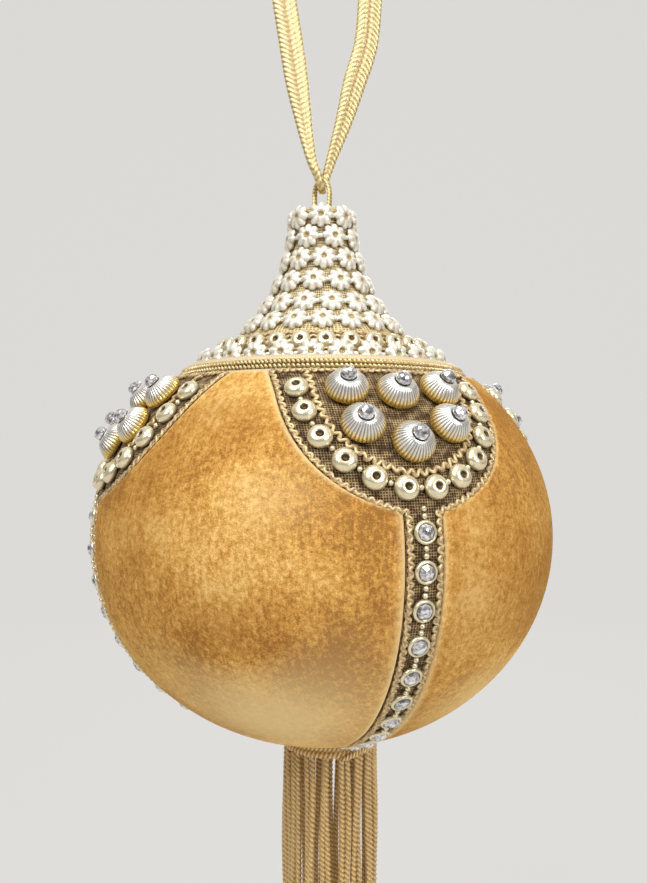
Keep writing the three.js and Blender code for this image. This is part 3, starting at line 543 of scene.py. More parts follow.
for band, turn in enumerate(band_turns):
    down = velvet_downs[:, None]
    radius, _ = ball_outline(zip_below + down)
    edge_turn = (band_edge(down) + seam_gap * 0.5) / radius
    left, right = turn + edge_turn, turn + panel_turn - edge_turn
    inner = np.linspace(0, 1, 84)[None, 1:-1]
    left_roll, right_roll = left + roll[None] / radius, right - roll[None, ::-1] / radius
    angles = np.concatenate([left_roll, left_roll[:, -1:] + (right_roll[:, :1] - left_roll[:, -1:]) * inner,
                             right_roll], 1)
    from_left, from_right = (angles - left) * radius, (right - angles) * radius
    edge_distance = np.minimum(np.minimum(from_left, from_right), down - cover_top)
    pull = pucker(from_left, down, 0.6) + pucker(from_right, down, 1.0)
    out = panel_rise + velvet_thickness - rolled(edge_distance) + pucker_depth * pull
    flat = np.stack(np.broadcast_arrays((angles - turn - panel_turn / 2) * radius, -down), -1)
    under = np.minimum(out - 0.00035, panel_rise + 0.0005)
    shut, shut_flat = shut_wall(on_ball(angles, zip_below + down, out),
                                on_ball(angles, zip_below + down, under), flat)
    # Painted highlight along the turned edges, painted shade over every other panel, then the painted patches of
    # light and shade.
    lay = edge_shine * np.exp(-(edge_distance / edge_shine_width) ** 2) - (0.0 if band % 2 else side_shade)
    for mark_down, mark_turn, mark_height, mark_width, strength in painted_light_patches:
        mark_turn = mark_turn if band % 2 else panel_turn - mark_turn
        lay = lay + strength * np.exp(-((down - mark_down) / mark_height) ** 2
                                      - ((angles - turn - mark_turn) / mark_width) ** 2)
    panel = piece(f"velvet_cover_{band + 1}", shut, velvet.material, "pouch", "velvet", uv=shut_flat,
                  replaces=f"velvet_panel_{band + 1}", lay=np.concatenate([lay, lay[:, ::-1]], 1))


# Four beaded bands of dark net worked in gold thread: a rounded medallion at the zip that runs
# into a narrow strip down to the foot. Wavy gold cords are sewn along the edges and inside the medallion.
band_top = panel_rise + band_cloth_thickness
cord_thickness, edge_cord_inset, top_cord_inset = 0.00105, 0.0010, 0.0016
inner_cord_inset, inner_cord_top = 0.010, 0.0015


def shader_group(name, inputs, outputs):
    """An empty shader node group with named sockets, with its inputs and its output node."""
    tree = bpy.data.node_groups.new(name, "ShaderNodeTree")
    for way, sockets in (("INPUT", inputs), ("OUTPUT", outputs)):
        for label, kind in sockets.items():
            tree.interface.new_socket(name=label, in_out=way, socket_type=f"NodeSocket{kind}")
    group = Nodes(tree)
    return group, group.node("NodeGroupInput").outputs, group.node("NodeGroupOutput")


# Crossed threads: the height is the greater of sin(2 pi x / pitch) and sin(2 pi y / pitch).
weave, weave_in, weave_out = shader_group("crossed_threads", {"Place": "Vector", "Pitch": "Float"},
                                          {"Height": "Float"})
weave_split = weave.node("ShaderNodeSeparateXYZ", None, {0: weave_in["Place"]}).outputs
weave_turns = [weave.calc("MULTIPLY", weave.calc("DIVIDE", weave_split[axis], weave_in["Pitch"]), 2 * np.pi)
               for axis in (0, 1)]
weave.feed(weave_out, "Height", weave.calc("MAXIMUM", *(weave.calc("SINE", turn) for turn in weave_turns)))


def woven(finish, pitch):
    """The height of crossed threads of a given pitch, placed in a material on the flat cloth."""
    return finish.node("ShaderNodeGroup", {"node_tree": weave.tree}, Place=finish.flat,
                       Pitch=pitch).outputs["Height"]


net = Finish("net_cloth", Roughness=0.6, Metallic=0.25)
net_height = woven(net, 0.00072)
net_patch = net.noise(net.flat, 420.0, 3.0)
net_ground = net.ramp(net_patch, (0.36, srgb(34, 20, 10)), (0.52, srgb(70, 46, 24)),
                      (0.68, srgb(132, 104, 66)))
net_thread = net.ramp(net_patch, (0.38, srgb(108, 78, 42)), (0.62, srgb(206, 180, 132)))
net_share = net.ramp(net_height, (0.3, (0, 0, 0)), (1.0, (1, 1, 1)))
net.set(Base_Color=net.mix(net_share, net_ground, net_thread), Normal=net.bump(net_height, 0.00025, 0.8))

zari = Finish("gold_cord", Roughness=0.45, Metallic=0.45)
zari_grain = zari.noise(zari.place, 1400.0)
# The twist attribute paints shade where the cord's two plies meet and light on them.
zari_colour = zari.mix(zari.attribute("twist"), srgb(104, 70, 36), srgb(226, 196, 142))
zari.set(Base_Color=zari.mix(zari.calc("MULTIPLY", zari_grain, 0.3), zari_colour, srgb(250, 236, 196)),
         Normal=zari.bump(zari_grain, 0.0001, 0.4))


def on_band(turn, across, down, out=0.0):
    """Points on a beaded band, by distance across it and down from the zip."""
    radius, _ = ball_outline(zip_below + down)
    return on_ball(turn + across / radius, zip_below + down, out)


def round_cord(path, facing, thickness, ply, swell, closed=False):
    """A cord of two plies: its section's radius is r (1 + swell ply), with ply a cosine of two waves."""
    a = full_round(8)
    radius = thickness / 2 * (1 + swell * ply)
    return section_along(path, sides_of(path, facing, closed), radius * np.cos(a), radius * np.sin(a))


def wavy_cord(turn, line, wave, pitch, thickness):
    """A round cord that weaves from side to side of a line on the band: x + A sin(2 pi s / pitch).

    Its plies are cos(2 a - 2 pi s / (0.8 pitch)), with s along the cord and a round it.
    """
    flat, length = evenly(line, pitch=pitch / 9)
    forward = unit(np.gradient(flat, axis=0))
    sideways = np.stack([forward[:, 1], -forward[:, 0]], -1)
    run = np.linspace(0, length, len(flat))
    flat = flat + sideways * (wave * np.sin(2 * np.pi * run / pitch))[:, None]
    path = on_band(turn, flat[:, 0], flat[:, 1], band_top + thickness * 0.42)
    facing = on_band(turn, flat[:, 0], flat[:, 1], band_top + 0.002) - path
    ply = np.cos(2 * full_round(8) - 2 * np.pi * run[:, None] / (pitch * 0.8))
    return round_cord(path, facing, thickness, ply, 0.14), np.clip(0.55 + 0.45 * ply, 0, 1)


def medallion_line(inset, top):
    """A U inside the medallion at an even inset, from its top left round the foot to its top right."""
    s = np.sin(np.linspace(0, np.pi / 2, 60))
    down = top + (medallion_length - inset - top) * s
    side = np.stack([medallion_edge(down, inset), down], -1)
    return np.vstack([side * [-1, 1], side[-2::-1]])


edge_downs = np.concatenate([np.linspace(0.0012, 0.05, 220), np.linspace(0.05, cover_foot - 0.0006, 160)[1:]])
edge_side = np.stack([band_edge(edge_downs) - edge_cord_inset, edge_downs], -1)
top_half = medallion_half_width - top_cord_inset
top_line = np.stack([np.linspace(-1, 1, 60) * top_half, np.full(60, 0.0013)], -1)

for band, turn in enumerate(band_turns):
    down = np.linspace(cover_top, cover_foot, 260)[:, None]
    across = band_edge(down) * np.linspace(-1, 1, 25)[None]
    shut, shut_flat = shut_wall(on_band(turn, across, down, band_top),
                                on_band(turn, across, down, panel_rise),
                                np.stack(np.broadcast_arrays(across, -down), -1))
    cloth = piece(f"band_net_{band + 1}", shut, net.material, "pouch", "net_cloth", uv=shut_flat,
                  replaces=f"beaded_band_{band + 1}")
    edge_cords = []
    for side in (-1, 1):
        edge_line = edge_side * [side, 1]
        edge_cords.append(wavy_cord(turn, edge_line, 0.0005, 0.0022, cord_thickness))
        edge_cords.append(wavy_cord(turn, edge_line + [side * 0.0003, 0], 0.0, 0.0019, cord_thickness * 0.8))
    inner_line = medallion_line(inner_cord_inset, inner_cord_top)
    inner_cords = [wavy_cord(turn, inner_line, 0.0007, 0.0025, cord_thickness * 1.15),
                   wavy_cord(turn, top_line, 0.0004, 0.0019, cord_thickness)]
    for label, cords in (("edge", edge_cords), ("inner", inner_cords)):
        for k, (cord_grid, twist) in enumerate(cords):
            piece(f"{label}_cord_{band + 1}_{k + 1}", cord_grid, zari.material, "pouch", "net_cloth",
                  twist=twist)


# Round metal-plated beads follow each medallion's edge, and clear stones in plated settings run
# down each strip. Small link beads are threaded between them, and a thread holds each one down.
rim_count, rim_inset, rim_top = 12, 0.0058, 0.0092
stone_count, stone_pitch, stone_start, link_side = 12, 0.0095, 0.0489, 0.0009
rim_outline = np.array([[2.6, 0.0], [3.05, 0.3], [3.3, 0.9], [3.25, 1.5], [2.95, 2.1], [2.4, 2.6],
                        [1.75, 2.85], [1.25, 2.9], [1.0, 2.75], [0.85, 2.3], [0.02, 2.1]]) / 1000
# Painted shade, with tarnish, for each ring of the outline: most under the bead's foot and in the dimple at its
# middle.
rim_recess = np.array([1.0, 0.7, 0.2, 0, 0, 0, 0, 0, 0.5, 1.0, 1.0])
link_outline = np.array([[0.02, -0.78], [0.5, -0.62], [0.76, -0.2], [0.76, 0.2], [0.5, 0.62],
                         [0.02, 0.78]]) / 1000
setting_outline = np.array([[2.8, 0.0], [3.05, 0.2], [3.05, 0.9], [2.75, 1.3], [2.35, 1.3], [2.2, 1.0],
                            [0.02, 1.0]]) / 1000
# Painted shade, with tarnish: some at the setting's foot, most in its seat under the stone.
setting_recess = np.array([0.3, 0, 0, 0, 0.2, 0.7, 1.0])
stone_outline = np.array([[2.15, 0.6], [2.2, 1.15], [1.65, 1.8], [0.95, 2.1], [0.02, 2.18]]) / 1000


def turned_shape(outline, around, flute=0.0, flutes=0, fluted=(0.0, 1.0)):
    """A bead turned on its own axis: radius r(h) times 1 + flute cos(flutes a) between two heights."""
    a = full_round(around)
    r, h = outline[:, :1], outline[:, 1:]
    low, high = fluted
    tall = high - low
    rise = smoothstep(h, low, low + tall * 0.2) * (1 - smoothstep(h, high - tall * 0.15, high))
    r = r * (1 + flute * rise * np.cos(flutes * a))
    return np.stack(np.broadcast_arrays(r * np.cos(a), r * np.sin(a), h), -1)


def set_down(shape, points, facing, forward):
    """Copies of one shape, each standing at its point along facing and turned to look forward."""
    up = unit(facing)
    side = unit(np.cross(forward, up))
    frames = np.stack([side, np.cross(up, side), up], -2)
    return points[:, None, None] + np.einsum("rck,nkx->nrcx", shape, frames)


def on_line(turn, flat, out):
    """Points, outward and forward directions of a line of (across, down) places on the band."""
    points = on_band(turn, flat[:, 0], flat[:, 1], out)
    facing = on_band(turn, flat[:, 0], flat[:, 1], out + 0.001) - points
    step = np.gradient(flat, axis=0) if len(flat) > 1 else np.array([[0.0, 1.0]])
    ahead = flat + unit(step) * 0.0005
    return points, facing, on_band(turn, ahead[:, 0], ahead[:, 1], out) - points


# Painted shade and worn plating: from a bright to a dull colour, and rougher, by the recess, which paints
# shade into the hollows along with tarnish, and by small spots of tarnish.
shade_and_tarnish, shade_and_tarnish_in, shade_and_tarnish_out = shader_group(
    "shaded_worn_plating", {"Bright": "Color", "Dull": "Color", "Recess": "Float"},
    {"Colour": "Color", "Roughness": "Float"})
tarnish_spots = shade_and_tarnish.noise(shade_and_tarnish.place, 500.0, 2.0, 0.5)
shade_and_tarnish_share = shade_and_tarnish.calc("MULTIPLY_ADD", tarnish_spots, 0.35, shade_and_tarnish_in["Recess"], clamp=True)
tarnish_rough = shade_and_tarnish.node("ShaderNodeMapRange", Value=shade_and_tarnish_share, To_Min=0.24, To_Max=0.42)
shade_and_tarnish.feed(shade_and_tarnish_out, "Colour", shade_and_tarnish.mix(shade_and_tarnish_share, shade_and_tarnish_in["Bright"], shade_and_tarnish_in["Dull"]))
shade_and_tarnish.feed(shade_and_tarnish_out, "Roughness", tarnish_rough.outputs[0])


def plated(name, bright, dull, metallic=0.9):
    """A plated bead finish; its recess attribute says how deep in a hollow or flute a point lies.

    bright and dull are a colour each, or a gold and a silver that the silver attribute blends; dull is
    the colour of painted shade and tarnish.
    """
    made = Finish(name, Metallic=metallic)
    if len(bright) == 2:
        silver = made.attribute("silver")
        bright, dull = made.mix(silver, *bright), made.mix(silver, *dull)
    worn = made.node("ShaderNodeGroup", {"node_tree": shade_and_tarnish.tree}, Bright=bright, Dull=dull,
                     Recess=made.attribute("recess")).outputs
    made.set(Base_Color=worn["Colour"], Roughness=worn["Roughness"])
    return made.material


gold_plate = plated("pale_gold_plating", srgb(255, 243, 206), srgb(84, 64, 36), 0.66)
stone = Finish("clear_stone", Metallic=0.75, Roughness=0.08)
stone_shade = stone.noise(stone.place, 900.0, 2.0)
stone.set(Base_Color=stone.ramp(stone_shade, (0.35, srgb(150, 146, 150)), (0.62, srgb(248, 248, 250))))

rim_line, _ = evenly(medallion_line(rim_inset, rim_top), count=rim_count)
strip_line = np.stack([np.zeros(stone_count), stone_start + stone_pitch * np.arange(stone_count)], -1)
between = strip_line - [0, stone_pitch / 2]
link_line = np.vstack([(rim_line[1:] + rim_line[:-1]) / 2, between + [0, link_side],
                       between - [0, link_side]])

for band, turn in enumerate(band_turns):
    rim_at, strip_at = on_line(turn, rim_line, band_top), on_line(turn, strip_line, band_top)
    piece(f"rim_beads_{band + 1}", set_down(turned_shape(rim_outline, 24), *rim_at), gold_plate, "pouch",
          "gold_beads", replaces=f"band_beads_{band + 1}", recess=rim_recess[:, None])
    piece(f"stone_settings_{band + 1}", set_down(turned_shape(setting_outline, 24), *strip_at), gold_plate,
          "pouch", "gold_beads", recess=setting_recess[:, None])
    piece(f"strip_stones_{band + 1}", set_down(turned_shape(stone_outline, 8), *strip_at), stone.material,
          "pouch", "gold_beads", smooth=False)
    link_at = on_line(turn, link_line, band_top + 0.0007)
    piece(f"link_beads_{band + 1}", set_down(turned_shape(link_outline, 10), *link_at), gold_plate, "pouch",
          "gold_beads", recess=0.0)


# Six large dome beads stand on each medallion: a gold pleated skirt, a silver fluted dome and a
# stone on top, sewn down through its middle.
dome_places = np.array([[-13, 9.5], [0, 11], [13.5, 9.6], [-11.8, 21.2], [0, 26.4], [12.2, 21.2]]) / 1000
dome_outline = np.array([[5.2, 0.0], [5.6, 0.3], [5.78, 0.8], [5.76, 1.4], [5.6, 2.0], [5.3, 2.6], [4.9, 3.2],
                         [4.4, 3.8], [3.8, 4.4], [3.15, 4.9], [2.55, 5.2], [2.25, 5.25], [2.1, 5.1], [2.0, 5.0],
                         [0.02, 4.95]]) / 1000
crystal_outline = np.array([[1.4, 4.9], [1.9, 5.2], [2.15, 5.7], [2.2, 6.2], [2.0, 6.8], [1.55, 7.3], [0.9, 7.65],
                            [0.02, 7.75]]) / 1000
flutes, dome_around = 34, 204
dome_shape = turned_shape(dome_outline, dome_around, -0.03, flutes, (0.0003, 0.0052))
crystal_shape = turned_shape(crystal_outline, 10)
dome_height = dome_outline[:, 1:]
dome_rise = smoothstep(dome_height, 0.0001, 0.001) * (1 - smoothstep(dome_height, 0.0046, 0.0052))
# Painted shade, with tarnish, in the flutes, under the skirt's foot and round the stone's seat.
dome_recess = 0.75 * dome_rise * (0.5 + 0.5 * np.cos(flutes * full_round(dome_around))) ** 2
dome_recess = dome_recess + np.array([0.6] + [0.0] * 10 + [0.1, 0.7, 0.9, 0.9])[:, None]
dome_plate = plated("dome_plating", (srgb(255, 226, 120), srgb(255, 254, 250)),
                    (srgb(160, 116, 44), srgb(112, 100, 84)), 0.68)

for band, turn in enumerate(band_turns):
    for k, place in enumerate(dome_places):
        dome_at = on_line(turn, place[None], band_top + 0.0004)
        piece(f"dome_{band + 1}_{k + 1}", set_down(dome_shape, *dome_at), dome_plate, "pouch", "dome_beads",
              replaces=f"dome_bead_{band + 1}_{k + 1}", recess=np.clip(dome_recess, 0, 1),
              silver=smoothstep(dome_height, 0.0010, 0.0040))
        piece(f"dome_stone_{band + 1}_{k + 1}", set_down(crystal_shape, *dome_at), stone.material, "pouch",
              "dome_beads", smooth=False)


# The zip round the mouth: two woven tapes, each with its half of a metallised nylon coil. The
# lower one is sewn to the ball and the upper one to the cap; the teeth lie slanting like a rope.
zip_open_angle, zip_line, hinge_from, hinge_to = np.radians(133), 0.0443, np.radians(148), np.radians(212)
coil_near, coil_far, coil_thickness, tooth_pitch = 0.00045, 0.0016, 0.0019, 0.00127
tooth_lean, tooth_half_width, teeth_overlap = 0.55, 0.00058, 0.00018
tape_tuck, half = 0.002, 0.0002  # half is half the tape's thickness

tape = Finish("zip_tape", Roughness=0.55, Metallic=0.2, Sheen_Weight=0.2)
tape_height = woven(tape, 0.0005)
tape.set(Base_Color=tape.ramp(tape_height, (0.2, srgb(200, 170, 122)), (0.9, srgb(242, 224, 184))),
         Normal=tape.bump(tape_height, 0.0001, 0.5))


def round_strip(name, angles, alongs, outs, body, replaces, closed=False):
    """A strip of tape carried round the mouth: its flat section is (distance along the outline, out)."""
    section = np.stack([alongs, outs], -1)
    grid = on_ball(angles[:, None], section[:, 0], section[:, 1])[:, ::-1]
    run = run_along(section)
    edge = np.append(run, run[-1] + 0.0004)
    turns = np.append(angles, 2 * angles[-1] - angles[-2]) if closed else angles
    flat = np.stack(np.broadcast_arrays(turns[:, None] * 0.044, edge), -1)
    piece(name, grid, tape.material, body, "zip_tape", ring=closed, uv=flat, replaces=replaces)


tucked = zip_below + tape_tuck
sewn = -zip_above - 0.0006
round_strip("lower_zip_tape", full_round(240), [0.0017, 0.0026, 0.0034, tucked, tucked, 0.0017],
            [half, half * 1.4, half, half, -half, -half], "pouch", "zip_tape_lower", closed=True)
round_strip("upper_zip_tape", np.linspace(-zip_open_angle, zip_open_angle, 200),
            [sewn, -0.0022, -0.0017, -0.0017, sewn], [half * 0.6, half, half, -half, -half], "lid",
            "zip_tape_upper")
hinge_alongs = np.array([-0.0024, -0.0014, -0.0004, 0.0006, 0.0016])
round_strip("cloth_hinge", np.linspace(hinge_from, hinge_to, 60), [*hinge_alongs, *hinge_alongs[::-1]],
            [half, half * 1.6, half * 1.8, half * 1.6, half, *[-half] * 5], "pouch", "hinge_cloth")

coil = Finish("zip_coil", Metallic=0.5)
coil_grain = coil.noise(coil.place, 600.0)
coil.set(Base_Color=coil.ramp(coil_grain, (0.3, srgb(214, 186, 128)), (0.7, srgb(240, 224, 178))),
         Roughness=coil.calc("MULTIPLY_ADD", coil_grain, 0.2, 0.2))


def coil_teeth(side):
    """Teeth of half a coil: each one a short rounded wire across its half, leaning along the zip.

    Its section is an ellipse whose size follows sqrt(1 - u**6), with u from -1 to 1 across the half.
    """
    count = int(2 * zip_open_angle * zip_line / tooth_pitch)
    middle = np.linspace(-zip_open_angle, zip_open_angle, count)[:, None, None]
    middle = middle + (side > 0) * 0.5 * tooth_pitch / zip_line
    u = np.linspace(-0.985, 0.985, 7)[None, :, None]
    a = full_round(8)
    size = np.sqrt(1 - u ** 6)
    across = side * ((coil_near + coil_far) / 2 + u * (coil_far - coil_near) / 2 - teeth_overlap)
    angle = middle + (across * tooth_lean + tooth_half_width * size * np.cos(a)) / zip_line
    return on_ball(angle, across, 0.5 * coil_thickness * size * np.sin(a))


piece("lower_zip_teeth", coil_teeth(1)[:, :, ::-1], coil.material, "pouch", "zip_coil",
      replaces="zip_coil_lower")
piece("upper_zip_teeth", coil_teeth(-1), coil.material, "lid", "zip_coil", replaces="zip_coil_upper")
finish_solids(plated("slider_plating", srgb(238, 208, 134), srgb(140, 104, 52)), "zip_slider", "pull_tab")


# The cap: a stiff trumpet of moulded board under gold brocade, open flare down to the zip. Rows
# of flower beads are sewn round it, with one row of round beads above the lowest flowers.
cap_base = np.stack(ball_outline(-zip_above)) - [0.00125, 0.0022]
neck = np.array([0.0087, cap_base[1] + 0.0523])
cap_bow = np.array([[0.0258, cap_base[1] + 0.0087], [0.0099, cap_base[1] + 0.0256]])
cap_edge, cap_cloth_thickness, shoulder, needle_hole = 0.0014, 0.0005, 0.002, 0.00005
s = np.linspace(0, 1, 2001)[:, None]
cap_curve = ((1 - s) ** 3 * cap_base + 3 * (1 - s) ** 2 * s * cap_bow[0] + 3 * (1 - s) * s ** 2 * cap_bow[1]
             + s ** 3 * neck)
cap_runs = run_along(cap_curve)
cap_length = cap_runs[-1]
cap_slope = unit(np.gradient(cap_curve, axis=0))


def cap_outline(up, out=0.0):
    """Radius and height of the cap's outline, a cubic Bezier, by distance up it and off it."""
    up, out = np.broadcast_arrays(up, out)
    radius, height, slope_r, slope_z = (np.interp(up, cap_runs, c) for c in (*cap_curve.T, *cap_slope.T))
    return radius + out * slope_z, height - out * slope_r


def on_cap(angle, up, out=0.0):
    """Points on the cap at an angle from the front and a distance up its flare."""
    return round_axis(*cap_outline(up, out), angle)


cap_ups = np.linspace(cap_edge, cap_length, 120)
quarter = np.linspace(0, np.pi / 2, 10)[1:]
outside = np.stack(cap_outline(cap_ups, cap_cloth_thickness), -1)
over_top = outside[-1] + shoulder * np.stack([np.cos(quarter) - 1, np.sin(quarter)], -1)
top_height = over_top[-1, 1]
cap_profile = np.concatenate([[[needle_hole, top_height - 0.0004]], np.stack(cap_outline(cap_ups[::-1]), -1),
                              outside, over_top, [[0.003, top_height], [needle_hole, top_height]]])
cap_around = full_round(192)
brocade = Finish("gold_brocade", Roughness=0.5, Metallic=0.35)
brocade_height = woven(brocade, 0.0009)
brocade_patch = brocade.noise(brocade.place, 300.0, 3.0)
brocade_ground = brocade.ramp(brocade_patch, (0.36, srgb(126, 98, 54)), (0.62, srgb(206, 182, 130)))
brocade_share = brocade.ramp(brocade_height, (0.3, (0, 0, 0)), (0.95, (1, 1, 1)))
brocade.set(Base_Color=brocade.mix(brocade_share, brocade_ground, srgb(236, 220, 176)),
            Normal=brocade.bump(brocade_height, 0.0002, 0.7))
cap_flat = np.stack(np.broadcast_arrays(np.append(cap_around, 2 * np.pi) * 0.022,
                                        run_along(cap_profile)[:, None]), -1)
cap_cover = piece("cap_brocade", round_axis(cap_profile[:, :1], cap_profile[:, 1:], cap_around),
                  brocade.material, "lid", "net_cloth", uv=cap_flat, replaces="cap_cloth")


# The satin disc that closes the cap from below, glued into the flare. It rises to its middle as
# a quarter sine, in soft gathers.
disc_low, disc_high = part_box("cap_lining")
disc_radius, disc_thickness, disc_gather = disc_high[0], 0.0005, 0.00025
disc_share = np.concatenate([np.linspace(0, 0.985, 36), np.linspace(0.985, 0, 36)])[:, None]
disc_rise = disc_high[2] - disc_low[2] - disc_thickness
disc_gathers = disc_gather * np.sin(30 * lining_angles) * np.sin(np.pi * disc_share)
disc_z = disc_low[2] + disc_rise * np.sin(disc_share * np.pi / 2) + disc_gathers + hang_drop
disc_z[36:] += disc_thickness
disc = piece("cap_lining_satin", round_axis(disc_radius * (1 - disc_share), disc_z, lining_angles)[::-1],
             satin.material, "lid", "satin_lining", ring=True, replaces="cap_lining")


# Eight rows of beads round the cap: seven of pale flowers with eight petals each, and one of
# round beads. Each row is threaded with small links, and fine gold cords are sewn between them.
cap_row_shares = [0.073, 0.187, 0.37, 0.492, 0.625, 0.75, 0.868, 0.974]
flower_pitch, small_pitch, round_row = 0.0085, 0.0072, 1
petals, flower_around, petal_dip = 8, 32, 0.2
flower_outline = np.array([[3.5, 0.0], [3.95, 0.3], [4.1, 0.7], [3.8, 1.2], [3.0, 1.7], [1.9, 2.0], [1.0, 2.0],
                           [0.75, 1.7], [0.6, 1.4], [0.02, 1.35]]) / 1000
flower_recess = np.array([0.6, 0.2, 0, 0, 0, 0.05, 0.4, 0.9, 1.0, 1.0])[:, None]
petal_depth = np.array([0.6, 1.0, 1.0, 0.9, 0.7, 0.35, 0.1, 0, 0, 0])[:, None]
petal_cut = petal_depth * (0.5 - 0.5 * np.cos(petals * full_round(flower_around))) ** 2
flower_shape = turned_shape(flower_outline, flower_around) * (1 - petal_dip * petal_cut)[..., None]
# Painted shade, with tarnish, under the rim, in the middle and between the petals.
flower_dark = np.clip(flower_recess + 0.7 * petal_cut, 0, 1)
small_outline = np.array([[1.9, 0.0], [2.7, 0.4], [3.0, 1.1], [2.8, 1.8], [2.1, 2.35], [1.3, 2.55], [0.9, 2.4],
                          [0.7, 2.0], [0.02, 1.95]]) / 1000
# Painted shade, with tarnish, at the round bead's foot and in its middle.
small_recess = np.array([0.3, 0.0, 0, 0, 0, 0, 0.3, 0.9, 1.0])[:, None]
small_shape = turned_shape(small_outline, 20)
cap_link_shape = turned_shape(link_outline, 10) * [1.0, 1.5, 1.0]
flower_plate = plated("flower_plating", srgb(255, 254, 246), srgb(178, 158, 112), 0.3)

for row, share in enumerate(cap_row_shares):
    up = share * cap_length
    pitch, shape, dark, material, slot = flower_pitch, flower_shape, flower_dark, flower_plate, "flower_beads"
    if row == round_row:
        pitch, shape, dark, material, slot = small_pitch, small_shape, small_recess, gold_plate, "gold_beads"
    count = int(round(2 * np.pi * cap_outline(up, 0.00165)[0] / pitch))
    angles = 2 * np.pi * (np.arange(count) + 0.5 * (row % 2)) / count
    # The lowest rows are tipped outwards, where the flare is nearly flat.
    tip = (0.75, 0.5)[row] if row < 2 else 0.15
    points = on_cap(angles, up, cap_cloth_thickness + 0.0001 + 0.0012 * tip)
    level = round_axis(1.0, hang_drop, angles)
    facing = unit(on_cap(angles, up, 0.003) - points) * (1 - tip) + level * tip
    forward = on_cap(angles + 0.01, up, cap_cloth_thickness + 0.0001) - points
    piece(f"cap_row_{row + 1}", set_down(shape, points, facing, forward), material, "lid", slot,
          replaces=f"cap_beads_{row + 1}", recess=dark)
    link_angles, link_out = angles + np.pi / count, cap_cloth_thickness + 0.0008
    link_points = on_cap(link_angles, up, link_out)
    link_facing = on_cap(link_angles, up, 0.003) - link_points
    link_forward = on_cap(link_angles + 0.01, up, link_out) - link_points
    piece(f"cap_links_{row + 1}", set_down(cap_link_shape, link_points, link_facing, link_forward),
          material, "lid", slot, recess=0.0)


def ring_cord(name, up, thickness, wave, waves):
    """A cord sewn round the cap that weaves up and down its line: up + A sin(waves a)."""
    a = full_round(waves * 8)
    path = on_cap(a, up + wave * np.sin(waves * a), cap_cloth_thickness + thickness * 0.42)
    facing = on_cap(a, up, 0.005) - on_cap(a, up)
    ply = np.cos(2 * full_round(8) - waves * a[:, None])
    piece(name, round_cord(path, facing, thickness, ply, 0.12, closed=True), zari.material, "lid",
          "net_cloth", ring=True, twist=np.clip(0.55 + 0.45 * ply, 0, 1))


ring_cord("cap_edge_cord", 0.0009 + cap_edge * 0.2, 0.0011, 0.0, 120)
ring_cord("cap_cord_low", 0.0085, 0.001, 0.00035, 90)
ring_cord("cap_cord_high", 0.0158, 0.001, 0.0004, 80)
ring_cord("cap_cord_top", 0.0178, 0.001, 0.0004, 76)


# The small loop on top of the cap: a narrow flat braid, bent into an arch, both ends pushed
# through the cap's top and glued inside. The hand strap hangs in it.
loop_turn = view_turn + np.radians(-35)
loop_foot = neck[1] + shoulder + seam_gap + cap_cloth_thickness + seam_gap
loop_half, loop_half_width, loop_half_height, loop_plait_pitch = 0.0029, 0.0012, 0.0006, 0.0011
loop_side = np.array([[loop_half, loop_foot], [loop_half, loop_crown_height - 0.0034],
                      [loop_half * 0.7, loop_crown_height - 0.0011]])
loop_route = np.vstack([loop_side * [-1, 1], [[0, loop_crown_height]], loop_side[::-1]])
loop_flat, loop_length = curve_through(loop_route, 90)
loop_path = np.stack([loop_flat[:, 0] * np.cos(loop_turn), loop_flat[:, 0] * np.sin(loop_turn),
                      loop_flat[:, 1] - hang_drop], -1)
loop_normal = np.array([-np.sin(loop_turn), np.cos(loop_turn), 0.0])
loop_sides = sides_of(loop_path, np.cross(unit(np.gradient(loop_path, axis=0)), loop_normal))
loop_cos, loop_sin = np.cos(full_round(24)), np.sin(full_round(24))
loop_run = np.linspace(0, loop_length, 90)[:, None]
loop_ply = np.cos(2 * np.pi * loop_run / loop_plait_pitch + 3 * np.abs(loop_cos))
loop_groove = 0.3 * np.exp(-(loop_cos / 0.2) ** 2)
loop_grid = section_along(loop_path, loop_sides, loop_half_width * loop_cos * (1 + 0.03 * loop_ply),
                          loop_half_height * loop_sin * (1 + 0.1 * loop_ply - loop_groove))
# The plait attribute paints shade between the loop's plaits and light on them.
piece("top_loop_braid", loop_grid, braid.material, "lid", "metallic_braid", replaces="top_loop",
      plait=np.clip(0.5 + 0.4 * loop_ply, 0, 1))


# The tassel's fringe: 34 strands of two-ply metallic twist, 100 mm long, that hang in a ring from
# the tape they are sewn to, a little to the right of the ball's foot.
tassel_radius, tassel_shift = 0.0159, 0.0026
tassel_middle = np.array([tassel_shift * np.cos(view_turn), tassel_shift * np.sin(view_turn), 0])
heading_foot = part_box("tassel_heading")[0][2]
strand_count, strand_radius, strand_step = 34, 0.00116, 0.0003
strand_drop, strand_lay, strand_tuck = 0.100, 0.0031, 0.0006

bullion = Finish("twisted_bullion", Roughness=0.45, Metallic=0.2, Sheen_Weight=0.2)
bullion_grain = bullion.noise(bullion.place, 1600.0)
bullion_tone = bullion.noise(bullion.place, 130.0, 1.0)
# The ply attribute paints shade where the plies meet and light on their crowns.
bullion_colour = bullion.mix(bullion.attribute("ply"), srgb(118, 70, 24), srgb(255, 218, 144))
bullion_share = bullion.calc("MULTIPLY", bullion_tone, 0.25)
bullion_colour = bullion.mix(bullion_share, bullion_colour, srgb(250, 224, 160))
bullion.set(Base_Color=bullion_colour, Normal=bullion.bump(bullion_grain, 0.0002, 0.7))

